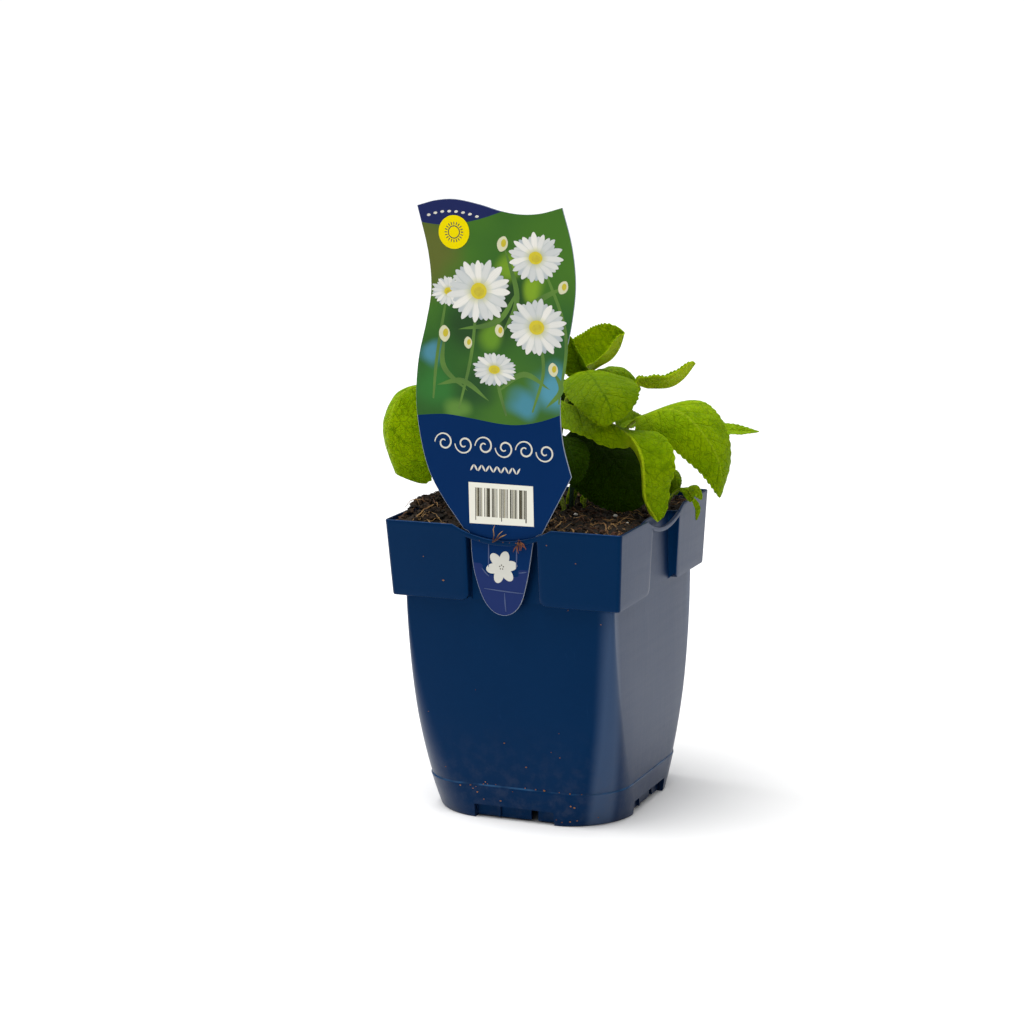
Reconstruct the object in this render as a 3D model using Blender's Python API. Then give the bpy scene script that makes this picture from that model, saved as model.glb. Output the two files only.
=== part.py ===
# Potted bellflower in leaf, in a square blue nursery pot with its printed plant label.
# The pot stands on the ground plane and the label faces -Y. Sizes below are in millimetres.

import bpy
import bmesh
import numpy as np
from math import cos, exp, pi, radians, sin, sqrt
from mathutils import Matrix, Vector

MM = 0.001
GAP = 0.3                       # clear distance between pieces that touch

# Pot
POT_HEIGHT = 133.4
RIM_HALF = 55.0                 # half the width over the rim
BAND_HEIGHT = 33.7              # raised band of corner panels below the rim
BAND_FOOT_HALF = 53.1           # half width at the band's lower edge
BODY_TOP_HALF = 48.8
BODY_FOOT_HALF = 45.5
TOP_CORNER = 1.6                # corner radius just below the band
FOOT_CORNER = 29.0              # corner radius at the ground
WALL = 1.2
SEAM_HEIGHT = 15.6              # moulded step round the foot
SEAM_STEP = 0.35
FLOOR_UNDER = 4.5
FLOOR_TOP = 7.5
SKIRT = 4.0                     # thickness of the standing edge
RECESS_HALF = 16.5              # recess between the two panels of a side
RECESS_FLOOR_HALF = 49.8
RECESS_DRAFT = 0.6
RECESS_WALL_TOP = 131.6         # the wall behind each recess stands higher than the bar
DIP_HALF = 23.0                 # the rim dips in an arc in the middle of each side
DIP_DEPTH = 5.8
BAR_HEIGHT = 2.2                # bar that bridges the recess, the label's slot behind it
BAR_THICK = 1.4
NOTCH_HALF = 18.85
NOTCH_HEIGHT = 6.3
NOTCH_DEPTH = 2.3
NOTCH_LIFT = 0.8                # the notch's skirt stops above the ground
OUTLET_X = 8.8                  # narrow outlet in each notch
OUTLET_WIDTH = 3.3
DRAIN_RADIUS = 4.5
DRAIN_PLACES = [(0, 0), (20, 20), (-20, 20), (-20, -20), (20, -20)]
CORNER_STEPS = 5

# Soil
SOIL_EDGE = 129.0               # height of the soil along the walls
SOIL_CROWN = 3.0                # how much it rises towards the middle
SOIL_HEAPS = [(-38.0, -8.0, 8.0, 14.0), (-46.0, -33.0, 7.5, 12.0)]      # x, y, height and spread of loose heaps
SOIL_INNER_HALF = 46.5          # the soil's surface is square inside the recesses
SOIL_ROOT_DEPTH = 12.0          # how deep each leaf stalk stands in the soil

# Label
LABEL_THICK = 0.8
LABEL_LEAN = radians(2.0)
LABEL_BAR_LEVEL = 131.0         # the label's own zero level, just above the bar
LABEL_Y = -RIM_HALF + BAR_THICK + GAP + LABEL_THICK / 2 + 0.1

# Leaves
BLADE_THICK = 0.7
STALK_RADIUS = 1.0
TOOTH_DEPTH = 0.35
BLADE_START = 0.06              # share of a blade over which its round stalk flattens
SPAN_STEPS = 16                 # steps between two points of a midrib


def remove_everything():
    for thing in list(bpy.data.objects):
        bpy.data.objects.remove(thing, do_unlink=True)


def make_material(name, colour, roughness):
    material = bpy.data.materials.new(name)
    material.use_nodes = True
    shader = material.node_tree.nodes["Principled BSDF"]
    shader.inputs["Base Color"].default_value = (*colour, 1.0)
    shader.inputs["Roughness"].default_value = roughness
    shader.inputs["Metallic"].default_value = 0.0
    return material


def make_object(name, points, faces, material, parent):
    mesh = bpy.data.meshes.new(name)
    mesh.from_pydata([Vector(p) * MM for p in points], [], faces)
    mesh.validate()
    mesh.materials.append(material)
    thing = bpy.data.objects.new(name, mesh)
    bpy.context.collection.objects.link(thing)
    thing.parent = parent
    return thing


def apply_boolean(thing, cutter, operation, solver):
    modifier = thing.modifiers.new("cut", "BOOLEAN")
    modifier.operation = operation
    modifier.solver = solver
    if isinstance(cutter, bpy.types.Collection):
        modifier.operand_type = "COLLECTION"
        modifier.collection = cutter
    else:
        modifier.object = cutter
    bpy.context.view_layer.objects.active = thing
    bpy.ops.object.modifier_apply(modifier=modifier.name)


def apply_collection(thing, tools, operation, solver="EXACT"):
    group = bpy.data.collections.new("tools")
    bpy.context.scene.collection.children.link(group)
    for tool in tools:
        bpy.context.collection.objects.unlink(tool)
        group.objects.link(tool)
    apply_boolean(thing, group, operation, solver)
    for tool in tools:
        bpy.data.objects.remove(tool, do_unlink=True)
    bpy.data.collections.remove(group)


def box_tool(name, low, high):
    bpy.ops.mesh.primitive_cube_add(size=1.0)
    tool = bpy.context.object
    tool.name = name
    size = [(b - a) * MM for a, b in zip(low, high)]
    middle = [(a + b) / 2 * MM for a, b in zip(low, high)]
    tool.data.transform(Matrix.Translation(middle) @ Matrix.Diagonal((*size, 1.0)))
    return tool


def round_tool(name, x, y, radius, low, high, sides):
    bpy.ops.mesh.primitive_cylinder_add(
        vertices=sides, radius=radius * MM, depth=(high - low) * MM,
        location=(x * MM, y * MM, (low + high) / 2 * MM))
    tool = bpy.context.object
    tool.name = name
    tool.data.transform(tool.matrix_world)
    tool.matrix_world = Matrix.Identity(4)
    return tool


# Pot

def body_size(z):
    below = min(max(1 - z / (POT_HEIGHT - BAND_HEIGHT), 0.0), 1.0)
    half = BODY_TOP_HALF - (BODY_TOP_HALF - BODY_FOOT_HALF) * below ** 4
    corner = TOP_CORNER + (FOOT_CORNER - TOP_CORNER) * below ** 1.7
    return half, corner


def pot_section(half, corner, inset, z, tops=None, widen=0.0):
    """One level of the pot as a ring of points, with a recess of the given depth in each side."""
    ring = []
    straight = half - corner
    squeeze = min(1.0, (straight - 1.0) / DIP_HALF)
    outer = RECESS_HALF + widen
    inner = outer - RECESS_DRAFT
    side = [(-DIP_HALF, 0), (-outer, 0), (-inner, inset), (inner, inset), (outer, 0), (DIP_HALF, 0)]
    level = [(x * squeeze, -half + depth, tops(x, depth) if tops else z) for x, depth in side]
    for step in range(CORNER_STEPS + 1):
        angle = -pi / 2 + step / CORNER_STEPS * pi / 2
        level.append((straight + corner * cos(angle), -straight + corner * sin(angle), z))
    for quarter in range(4):
        turn = Matrix.Rotation(quarter * pi / 2, 3, "Z")
        ring += [tuple(turn @ Vector(place)) for place in level]
    return ring


def dip(x):
    """Fall of the rim's arc at x from the middle of a side."""
    if abs(x) >= DIP_HALF:
        return 0.0
    radius = (DIP_HALF ** 2 + DIP_DEPTH ** 2) / (2 * DIP_DEPTH)
    return sqrt(radius ** 2 - x ** 2) - (radius - DIP_DEPTH)


def rim_top(x, depth):
    """Height of the rim, which follows the arc except on the wall behind each recess."""
    return RECESS_WALL_TOP if depth > 0 else POT_HEIGHT - dip(x)


def shrunk(half, corner, by):
    return half - by, max(corner - by, 0.5)


def make_pot(material, parent):
    band_low = POT_HEIGHT - BAND_HEIGHT
    rings = []
    # from the middle of the underside outwards, up the outside, over the rim and down the inside
    half, corner = body_size(0)
    inner_foot = shrunk(half, corner, SKIRT)
    rings.append(pot_section(*inner_foot, 0, FLOOR_UNDER))
    rings.append(pot_section(*inner_foot, 0, 0))
    for z in (0, 3, 8):
        rings.append(pot_section(*body_size(z), 0, z))
    half, corner = body_size(SEAM_HEIGHT)
    rings.append(pot_section(half, corner, 0, SEAM_HEIGHT - SEAM_STEP))
    rings.append(pot_section(half - SEAM_STEP, corner, 0, SEAM_HEIGHT))
    for z in (29, 50, 75):
        rings.append(pot_section(*body_size(z), 0, z))
    rings.append(pot_section(BODY_TOP_HALF, TOP_CORNER, 0, band_low))
    rings.append(pot_section(BAND_FOOT_HALF, TOP_CORNER, BAND_FOOT_HALF - RECESS_FLOOR_HALF, band_low))
    rim_inset = RIM_HALF - RECESS_FLOOR_HALF
    rings.append(pot_section(RIM_HALF, TOP_CORNER, rim_inset, POT_HEIGHT, rim_top))
    inside = shrunk(RIM_HALF, TOP_CORNER, WALL)
    rings.append(pot_section(*inside, rim_inset, POT_HEIGHT, rim_top, WALL))
    inside = shrunk(BAND_FOOT_HALF, TOP_CORNER, WALL)
    rings.append(pot_section(*inside, BAND_FOOT_HALF - RECESS_FLOOR_HALF, band_low + WALL, None, WALL))
    for z in (band_low + WALL, 50, 22, FLOOR_TOP):
        rings.append(pot_section(*shrunk(*body_size(min(z, band_low)), WALL), 0, z, None, WALL))
    pot = loft("pot", rings, material, parent)
    tools = []
    for quarter in range(4):
        turn = Matrix.Rotation(quarter * pi / 2, 4, "Z")
        bar = make_bar(material)
        bar.data.transform(turn)
        tools.append(bar)
    apply_collection(pot, tools, "UNION")
    tools = []
    for quarter in range(4):
        turn = Matrix.Rotation(quarter * pi / 2, 4, "Z")
        foot = BODY_FOOT_HALF
        notch = box_tool("notch", (-NOTCH_HALF, -foot - 5, -5), (NOTCH_HALF, -foot + NOTCH_DEPTH, NOTCH_HEIGHT))
        lift = box_tool("lift", (-NOTCH_HALF, -foot - 1, -5), (NOTCH_HALF, -foot + SKIRT + 1, NOTCH_LIFT))
        low = (OUTLET_X - OUTLET_WIDTH / 2, -foot, -5)
        high = (OUTLET_X + OUTLET_WIDTH / 2, -foot + SKIRT + 2, NOTCH_HEIGHT - 0.5)
        outlet = box_tool("outlet", low, high)
        for tool in (notch, lift, outlet):
            tool.data.transform(turn)
            tools.append(tool)
    for number, (x, y) in enumerate(DRAIN_PLACES):
        tools.append(round_tool("drain_%d" % number, x, y, DRAIN_RADIUS, -5, FLOOR_TOP + 5, 12))
    apply_collection(pot, tools, "DIFFERENCE")
    return pot


def make_bar(material):
    """The arched bar across a recess, its ends sunk in the panels' side walls."""
    reach = RECESS_HALF + WALL / 2
    steps = 8
    points = []
    for step in range(steps + 1):
        x = -reach + 2 * reach * step / steps
        top = POT_HEIGHT - dip(x) - 0.05
        for y, z in ((-RIM_HALF + 0.05, top), (-RIM_HALF + BAR_THICK, top),
                     (-RIM_HALF + BAR_THICK, top - BAR_HEIGHT), (-RIM_HALF + 0.05, top - BAR_HEIGHT)):
            points.append((x, y, z))
    faces = [(0, 3, 2, 1)]
    for step in range(steps):
        for side in range(4):
            a = step * 4 + side
            b = step * 4 + (side + 1) % 4
            faces.append((a, b, b + 4, a + 4))
    last = steps * 4
    faces.append((last, last + 1, last + 2, last + 3))
    bar = make_object("bar", points, faces, material, None)
    turn_faces_out(bar)
    return bar


def turn_faces_out(thing):
    work = bmesh.new()
    work.from_mesh(thing.data)
    bmesh.ops.recalc_face_normals(work, faces=work.faces)
    work.to_mesh(thing.data)
    work.free()


def loft(name, rings, material, parent):
    """Closed solid through rings of equally many points, its two ends filled."""
    count = len(rings[0])
    points = [p for ring in rings for p in ring]
    faces = []
    for level in range(len(rings) - 1):
        for k in range(count):
            a = level * count + k
            b = level * count + (k + 1) % count
            faces.append((a, b, b + count, a + count))
    for level in (0, len(rings) - 1):
        ring = rings[level]
        middle = len(points)
        points.append(tuple(sum(p[axis] for p in ring) / count for axis in range(3)))
        for k in range(count):
            faces.append((level * count + k, level * count + (k + 1) % count, middle))
    thing = make_object(name, points, faces, material, parent)
    turn_faces_out(thing)
    return thing


# Soil

def soil_height(x, y):
    wall = RIM_HALF - WALL
    inward = min(wall - abs(x), wall - abs(y)) / wall
    crown = SOIL_CROWN * sin(min(max(inward, 0.0), 1.0) * pi / 2)
    heap = sum(rise * exp(-((x - mx) ** 2 + (y - my) ** 2) / (2 * spread ** 2)) for mx, my, rise, spread in SOIL_HEAPS)
    heap *= min(1.0, max(inward, 0.0) * wall / 5 + 0.2)
    lumps = 0.7 * sin(x * 0.31 + 1.0) * cos(y * 0.27) + 0.5 * sin(x * 0.13 - y * 0.36 + 2.0)
    return SOIL_EDGE + crown + heap + lumps * min(1.0, inward * 5)


def make_soil(material, parent, holes):
    band_low = POT_HEIGHT - BAND_HEIGHT
    clear = WALL + GAP
    rings = []
    for z in (FLOOR_TOP + GAP, 22, 50, band_low + WALL + GAP):
        rings.append(pot_section(*shrunk(*body_size(min(z, band_low)), clear), 0, z, None, clear))
    inset = BAND_FOOT_HALF - RECESS_FLOOR_HALF
    low = shrunk(BAND_FOOT_HALF, TOP_CORNER, clear)
    rings.append(pot_section(*low, inset, band_low + WALL + GAP, None, clear))
    top = shrunk(RIM_HALF, TOP_CORNER, clear + 0.3)
    top = pot_section(*top, RIM_HALF - RECESS_FLOOR_HALF, 0, None, clear)
    inner = pot_section(SOIL_INNER_HALF, 1.0, 0, 0, None, clear)
    for ring, shrink in ((top, 1.0), (inner, 1.0), (inner, 0.78), (inner, 0.56), (inner, 0.34), (inner, 0.14)):
        rings.append([(x * shrink, y * shrink, soil_height(x * shrink, y * shrink)) for x, y, z in ring])
    soil = loft("soil", rings, material, parent)
    tools = []
    for number, (x, y, radius) in enumerate(holes):
        wide = (radius + GAP) / cos(pi / 6)
        bottom = SOIL_EDGE - SOIL_ROOT_DEPTH - GAP
        tools.append(round_tool("hole_%d" % number, x, y, wide, bottom, POT_HEIGHT + 30, 6))
    apply_collection(soil, tools, "DIFFERENCE", "MANIFOLD")
    return soil


# Label

# x and height above the bar, up the left side, over the top, down the right side and round the tab
LABEL_LEFT = [(-18.8, 1.3), (-28.0, 13.5), (-34.4, 25.0), (-38.4, 40.0), (-40.1, 56.0), (-38.8, 73.0),
              (-35.0, 89.0), (-32.6, 103.0), (-34.0, 119.0), (-38.9, 138.0)]
LABEL_TOP = [(-38.9, 138.0), (-30.0, 140.3), (-21.0, 140.8), (-10.0, 138.8), (0.0, 136.1), (9.0, 134.9),
             (18.0, 135.5), (27.4, 138.0)]
LABEL_RIGHT = [(27.4, 138.0), (31.8, 122.0), (33.5, 106.0), (31.8, 90.0), (28.4, 74.0), (26.6, 56.0),
               (27.8, 40.0), (31.7, 25.4)]
LABEL_TAB = [(14.3, -3.0), (12.9, -12.0), (11.5, -20.0), (8.5, -30.5), (3.5, -35.6), (-3.0, -35.6),
             (-8.5, -30.5), (-12.5, -20.5), (-14.2, -12.0), (-14.8, -3.0)]
LABEL_NECK = [(31.7, 25.4), (18.8, 1.3), (15.3, 0.4)]


def spline(points, steps):
    """Smooth curve through the points, as a list that leaves the last point out."""
    p = [np.array(q, float) for q in points]
    p = [2 * p[0] - p[1]] + p + [2 * p[-1] - p[-2]]
    out = []
    for k in range(1, len(p) - 2):
        a, b, c, d = p[k - 1:k + 3]
        for step in range(steps):
            t = step / steps
            bend = (c - a) * t + (2 * a - 5 * b + 4 * c - d) * t ** 2 + (3 * b - a - 3 * c + d) * t ** 3
            out.append(b + bend / 2)
    return out


def label_outline():
    outline = spline(LABEL_LEFT, 3) + spline(LABEL_TOP, 3) + spline(LABEL_RIGHT, 3)
    outline += [np.array(p) for p in LABEL_NECK]
    outline += spline(LABEL_TAB, 2) + [np.array(LABEL_TAB[-1]), np.array((-15.3, 0.4))]
    return outline


def make_label(material, parent):
    outline = label_outline()
    count = len(outline)
    up = Vector((0, sin(LABEL_LEAN), cos(LABEL_LEAN)))
    out = Vector((0, -cos(LABEL_LEAN), sin(LABEL_LEAN)))
    start = Vector((0, LABEL_Y, LABEL_BAR_LEVEL))
    points = []
    for side in (1, -1):
        for x, height in outline:
            points.append(start + Vector((x, 0, 0)) + up * height + out * side * LABEL_THICK / 2)
    faces = [tuple(range(count)), tuple(range(2 * count - 1, count - 1, -1))]
    for k in range(count):
        n = (k + 1) % count
        faces.append((k, k + count, n + count, n))
    label = make_object("plant_label", points, faces, material, parent)
    turn_faces_out(label)
    return label


# Leaves

# Each leaf has the ring and angle of its hole in the soil, the points of its stalk above the soil and
# of its midrib, its two half widths (left and right of the midrib, seen from the stalk with the upper
# face up), the ways its upper face looks in turn from the base to the tip, the fold and further curl of
# its two halves in degrees, and how blunt its base and tip are (a lower figure is blunter). Where the
# fold changes along a blade, tip_fold gives its value at the tip. A higher stiffness keeps the rows of
# a sharply bent blade more nearly parallel, and turning swings them round with its midrib.
LEAVES = {
    "leaf_front_broad": {
        "hole": (5, 0), "stalk": [(4, 4, 171)],
        "midrib": [(13, 6, 191), (22, -6, 193), (31, -17, 189), (37, -22, 183), (40, -25, 176)],
        "half_widths": (19, 14), "face": ((0.08, -0.18, 1), (0.35, -0.94, 0.35)),
        "fold": (-4, -6), "curl": (-30, -25), "blunt": (0.32, 0.43)},
    "leaf_right_drooping": {
        "hole": (15, 20), "stalk": [(18, 13, 152), (27, 16, 163)],
        "midrib": [(35, 16, 170.5), (42, 14, 174), (51, 11.5, 176.8), (60, 9.5, 175), (68, 9, 168), (74, 11, 158), (76, 13, 147.5), (74, 16, 138)],
        "half_widths": (19, 16), "face": ((0.18, -0.41, 1), (0.69, -0.57, 0.1)),
        "fold": (-10, -14), "curl": (-20, -38), "blunt": (0.42, 0.85)},
    "leaf_front_arching": {
        "hole": (10, -30), "stalk": [(-2, -1, 164)],
        "midrib": [(1, -2, 179), (14, -6, 179), (26, -11, 176), (37, -15, 173), (46, -18, 168), (50, -18, 160), (51, -18, 151), (51, -16, 141), (55, -11, 131)],
        "half_widths": (16, 12), "face": ((0.33, -0.75, 0.55), (0.2, -0.5, 1), (0.35, -0.9, 0.3), (0.3, -0.95, 0.1)),
        "fold": (-50, -10), "curl": (-10, -10), "blunt": (0.22, 0.85), "far_blunt": (1.1, 0.5), "stiffness": 0.5,
        "tip_fold": (-5, -80), "fold_spans": ((0.45, 0.75), (0.4, 0.55)), "turning": 0.4},
    "leaf_top_cupped": {
        "hole": (5, 120), "stalk": [(-2, 18, 164), (3, 24, 180)],
        "midrib": [(7, 25, 188), (13, 25, 192), (20, 24, 196), (24, 24, 201), (27, 23, 208)],
        "half_widths": (17, 9), "face": ((0.02, -0.91, 0.42), (0.02, -0.91, 0.42)),
        "fold": (18, 85), "curl": (10, 5), "blunt": (0.35, 0.47)},
    "leaf_top_young": {
        "hole": (5, 60), "stalk": [(2, 9, 166)],
        "midrib": [(11, 13, 188), (10, 10, 196), (9, 7, 202), (8, 5, 208)],
        "half_widths": (8, 6), "face": ((0.31, -0.96, 0.1), (0.31, -0.96, -0.1)),
        "fold": (15, 50), "curl": (25, 10), "blunt": (0.4, 0.8)},
    "leaf_behind_broad": {
        "hole": (10, 90), "stalk": [(7, 14, 169)],
        "midrib": [(14, 19, 188), (19, 26, 190), (24, 32, 189), (27, 35, 186), (30, 35, 181)],
        "half_widths": (9, 9), "face": ((0.2, -0.46, 1), (0.84, -0.18, 0.4)),
        "fold": (-25, -10), "curl": (-20, -20), "blunt": (0.55, 0.75)},
    "leaf_boat_shaped": {
        "hole": (10, 60), "stalk": [(11, 15, 156), (22, 22, 174)],
        "midrib": [(30, 27, 184), (35, 32, 183), (43, 36, 183), (48, 40, 186), (53, 43, 192.5)],
        "half_widths": (5.5, 7.5), "face": ((0.05, -0.36, 1), (-0.34, -0.48, 0.8)),
        "fold": (55, 58), "curl": (15, 15), "blunt": (0.4, 0.45), "stiffness": 0.8},
    "leaf_far_right": {
        "hole": (15, 40), "stalk": [(18, 24, 152), (33, 40, 161)],
        "midrib": [(46, 50, 162), (57, 55, 161), (66, 60, 160), (75, 67, 159)],
        "half_widths": (7.5, 7.5), "face": ((0.1, -0.23, 1), (0.12, -0.27, 1)),
        "fold": (8, 8), "curl": (0, 0), "blunt": (0.5, 0.9)},
    "leaf_left_drooping": {
        "hole": (10, 210), "stalk": [(-19, -10, 167)],
        "midrib": [(-40, -26, 187), (-48, -31, 189), (-55, -36, 185), (-59, -40, 174), (-59, -41, 163), (-56, -39, 150)],
        "half_widths": (21, 13), "face": ((0.15, -0.59, 1), (-0.06, -1.12, 0.1)),
        "fold": (-12, -30), "curl": (-20, -45), "blunt": (0.42, 0.22)},
    "leaf_shaded_large": {
        "hole": (10, 0), "stalk": [(9, 6, 152)],
        "midrib": [(12, 5, 169), (21, 1, 163), (31, -2, 154), (39, -3, 145), (46, -4, 137)],
        "half_widths": (14, 21), "face": ((0.33, -0.51, 1), (0.58, -0.84, 0.1)),
        "fold": (-5, -5), "curl": (-20, -20), "blunt": (0.34, 0.5)},
    "leaf_shaded_small": {
        "hole": (10, -60), "stalk": [(12, -16, 158)],
        "midrib": [(15, -21, 167.5), (21, -26.5, 162.5), (23.5, -28.5, 156), (24, -27.5, 149)],
        "half_widths": (8.5, 9), "face": ((0.33, -0.51, 1), (0.49, -0.88, 0.1)),
        "fold": (-5, -5), "curl": (-15, -15), "blunt": (0.34, 0.6)},
    "leaf_middle": {
        "hole": (10, 30), "stalk": [(16, 15, 158)],
        "midrib": [(23, 23, 165), (27, 28, 168), (31, 32, 167), (35, 36, 164)],
        "half_widths": (8, 6), "face": ((0.12, -0.27, 1), (0.52, -0.43, 0.8)),
        "fold": (5, 5), "curl": (-10, -10), "blunt": (0.55, 0.75)},
    "leaf_low_right": {
        "hole": (45.6, 37.9), "stalk": [(36, 29, 140)],
        "midrib": [(41, 35, 146), (43, 38, 143), (45, 40, 139), (45, 40, 133)],
        "half_widths": (6, 6), "face": ((0.2, -0.46, 1), (0.73, -0.66, 0.2)),
        "fold": (-15, -15), "curl": (-30, -20), "blunt": (0.5, 0.6), "stiffness": 0.5, "turning": 0.4},
    "leaf_back_left": {
        "hole": (10, 150), "stalk": [(-15, 9, 158)],
        "midrib": [(-24, 15, 170), (-36, 23, 175), (-48, 31, 170), (-55, 37, 158), (-57, 40, 145)],
        "half_widths": (14, 14), "face": ((-0.1, 0.1, 1), (-0.75, 0.6, 0.2)),
        "fold": (-8, -8), "curl": (-20, -20), "blunt": (0.45, 0.65)},
    "leaf_back": {
        "hole": (10, 120), "stalk": [(-9, 17, 160)],
        "midrib": [(-13, 26, 172), (-19, 38, 178), (-25, 50, 174), (-30, 58, 163), (-33, 61, 150)],
        "half_widths": (14, 14), "face": ((-0.1, 0.1, 1), (-0.4, 0.9, 0.2)),
        "fold": (-8, -8), "curl": (-22, -22), "blunt": (0.45, 0.65)},
    "leaf_back_low": {
        "hole": (15, 80), "stalk": [(4, 20, 143)],
        "midrib": [(6, 27, 148), (9, 38, 150), (12, 48, 146), (14, 55, 139)],
        "half_widths": (11, 11), "face": ((0, 0.1, 1), (0.2, 0.6, 0.8)),
        "fold": (6, 6), "curl": (-20, -20), "blunt": (0.5, 0.7)},
    "leaf_front_left": {
        "hole": (10, 240), "stalk": [(-9, -13, 150)],
        "midrib": [(-14, -19, 158), (-22, -27, 161), (-30, -33, 156), (-35, -36, 146)],
        "half_widths": (11, 11), "face": ((0, -0.1, 1), (-0.5, -0.7, 0.4)),
        "fold": (-8, -8), "curl": (-15, -15), "blunt": (0.5, 0.65)},
    "leaf_upright": {
        "hole": (5, 180), "stalk": [(-4, 5, 158)],
        "midrib": [(0, 7, 167), (3, 7.6, 175), (4, 8.4, 182), (4, 8.8, 188)],
        "half_widths": (8, 8), "face": ((0.2, -0.98, 0.1), (0.2, -0.98, 0.1)),
        "fold": (2, 2), "curl": (0, 0), "blunt": (0.45, 0.6)},
    "leaf_young": {
        "hole": (5, 240), "stalk": [(-4, -7, 158)],
        "midrib": [(-6, -11, 170), (-8, -16, 180), (-11, -22, 188), (-16, -27, 193)],
        "half_widths": (8, 8), "face": ((0.1, 0.7, 0.5), (0.2, 0.5, 0.9)),
        "fold": (25, 25), "curl": (10, 10), "blunt": (0.5, 0.7)},
}

# A small side shoot that leans over the rim, its three little leaves fused with its stalk
SHOOT = {
    "hole": (52.6, 30.5), "stalk": [(48, 29, 136)],
    "leaves": [
        {"midrib": [(51, 29, 138), (54, 29, 138), (56, 28, 136), (57, 27, 133)],
         "half_widths": (3.0, 3.0), "face": ((0.3, -0.4, 1), (0.7, -0.7, 0.2))},
        {"midrib": [(53, 30, 137), (56, 32, 138), (58, 34, 136), (59, 35, 133)],
         "half_widths": (3.2, 3.2), "face": ((0.3, -0.3, 1), (0.8, -0.5, 0.2))},
        {"midrib": [(57, 28, 134.5), (58.5, 29.5, 131), (59, 29.5, 128), (58.8, 28, 124.5)],
         "half_widths": (1.6, 1.6), "face": ((0.8, -0.6, 0.2), (0.9, -0.4, 0.1))}],
}


def unit(vector):
    return vector / np.linalg.norm(vector)


def hole_place(hole):
    radius, angle = hole
    return radius * cos(radians(angle)), radius * sin(radians(angle))


def blade_width(t, blunt):
    """Width of a blade along its length, from 0 at its base through 1 where it is widest to its tip."""
    base, tip = blunt
    widest = base / (base + tip)
    return t ** base * (1 - t) ** tip / (widest ** base * (1 - widest) ** tip)


def leaf_rows(straight_length, start_length, total_length, teeth, stalk_rows):
    """Distance along the leaf, place along the blade and tooth sign of each row of points."""
    rows = [(0.0, 0.0, 0)]
    for k in range(stalk_rows):
        rows.append((straight_length + (start_length - straight_length) * k / stalk_rows, 0.0, 0))
    for k in range(2 * teeth + 1):
        tooth, peak = divmod(k, 2)
        t = (tooth + 0.62 * peak) / teeth
        sign = 0 if k < 2 else 1 if peak else -1
        rows.append((start_length + (total_length - start_length) * t, t, sign))
    return rows


def half_section(half_width, side, fold, curl, share):
    """Place and direction on one half of a blade, share of the way from the midrib to its edge."""
    steps = 6
    across = 0.0
    rise = 0.0
    for k in range(steps):
        heading = fold + curl * share * (k + 0.5) / steps
        across += cos(heading) * half_width * share / steps
        rise += sin(heading) * half_width * share / steps
    return side * across, rise, fold + curl * share


def leaf_mesh(stalk, leaf, columns, teeth, stalk_rows, stalk_radius):
    """Points and faces of one closed leaf: a round stalk that flattens into a toothed blade."""
    stiffness = leaf.get("stiffness", 0.4)
    turning = leaf.get("turning", 0.0)
    spans = leaf.get("fold_spans", ((0.0, 1.0), (0.0, 1.0)))
    midrib = leaf["midrib"]
    path = np.linspace(stalk[0], stalk[1], SPAN_STEPS, endpoint=False)
    path = np.array([*path, *spline(stalk[1:] + midrib, SPAN_STEPS), np.array(midrib[-1], float)])
    along = np.r_[0, np.cumsum(np.linalg.norm(np.diff(path, axis=0), axis=1))]
    heading = np.gradient(path, axis=0)
    start = along[len(stalk) * SPAN_STEPS]
    length = along[-1] - start
    chord = unit(path[-1] - path[len(stalk) * SPAN_STEPS])
    rows = leaf_rows(along[SPAN_STEPS], start, along[-1], teeth, stalk_rows)
    faces = np.array([unit(np.array(f, float)) for f in leaf["face"]])
    face_places = np.linspace(0, 1, len(faces))
    shares = np.linspace(-1, 1, columns)
    upper, lower = [], []
    for row, (distance, t, tooth) in enumerate(rows):
        centre = np.array([np.interp(distance, along, path[:, axis]) for axis in range(3)])
        ahead = unit(np.array([np.interp(distance, along, heading[:, axis]) for axis in range(3)]))
        face = [np.interp(t, face_places, faces[:, axis]) for axis in range(3)]
        right = unit(np.cross(chord * (1 - turning) + ahead * turning, face))
        if row <= stalk_rows:
            right = unit(right - ahead * np.dot(right, ahead))
        else:
            ahead = unit(ahead * (1 - stiffness) + chord * stiffness)
        normal = unit(np.cross(right, ahead))
        flat = min(1.0, t / BLADE_START)
        for column, share in enumerate(shares):
            side = -1 if share < 0 else 1
            which = 0 if share < 0 else 1
            blunt = leaf.get("far_blunt", leaf["blunt"]) if which == 0 else leaf["blunt"]
            width = blade_width(min(max(t, 0.004), 0.992), blunt) * leaf["half_widths"][which]
            width = max(width + TOOTH_DEPTH * tooth * min(1.0, width / 4), 0.35)
            slim = min(1.0, width / 3)
            fold = leaf["fold"][which]
            low, high = spans[which]
            fold += (leaf.get("tip_fold", leaf["fold"])[which] - fold) * min(max((t - low) / (high - low), 0.0), 1.0)
            fold, curl = radians(fold) * slim, radians(leaf["curl"][which]) * slim
            across, rise, slope = half_section(width, side, fold, curl, abs(share))
            place = centre + right * across + normal * rise
            if abs(share) == 1 and tooth == 1:
                place = place + ahead * 0.25 * length / teeth
            facing = normal
            if share != 0:
                facing = -right * side * sin(slope) + normal * cos(slope)
            angle = pi * (1 - (column + 0.5) / columns)
            sideways = right * cos(angle) * stalk_radius
            upright = normal * sin(angle) * stalk_radius
            thick = facing * BLADE_THICK / 2
            upper.append((centre + sideways + upright) * (1 - flat) + (place + thick) * flat)
            lower.append((centre + sideways - upright) * (1 - flat) + (place - thick) * flat)
    return upper + lower, leaf_faces(len(rows), columns)


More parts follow.
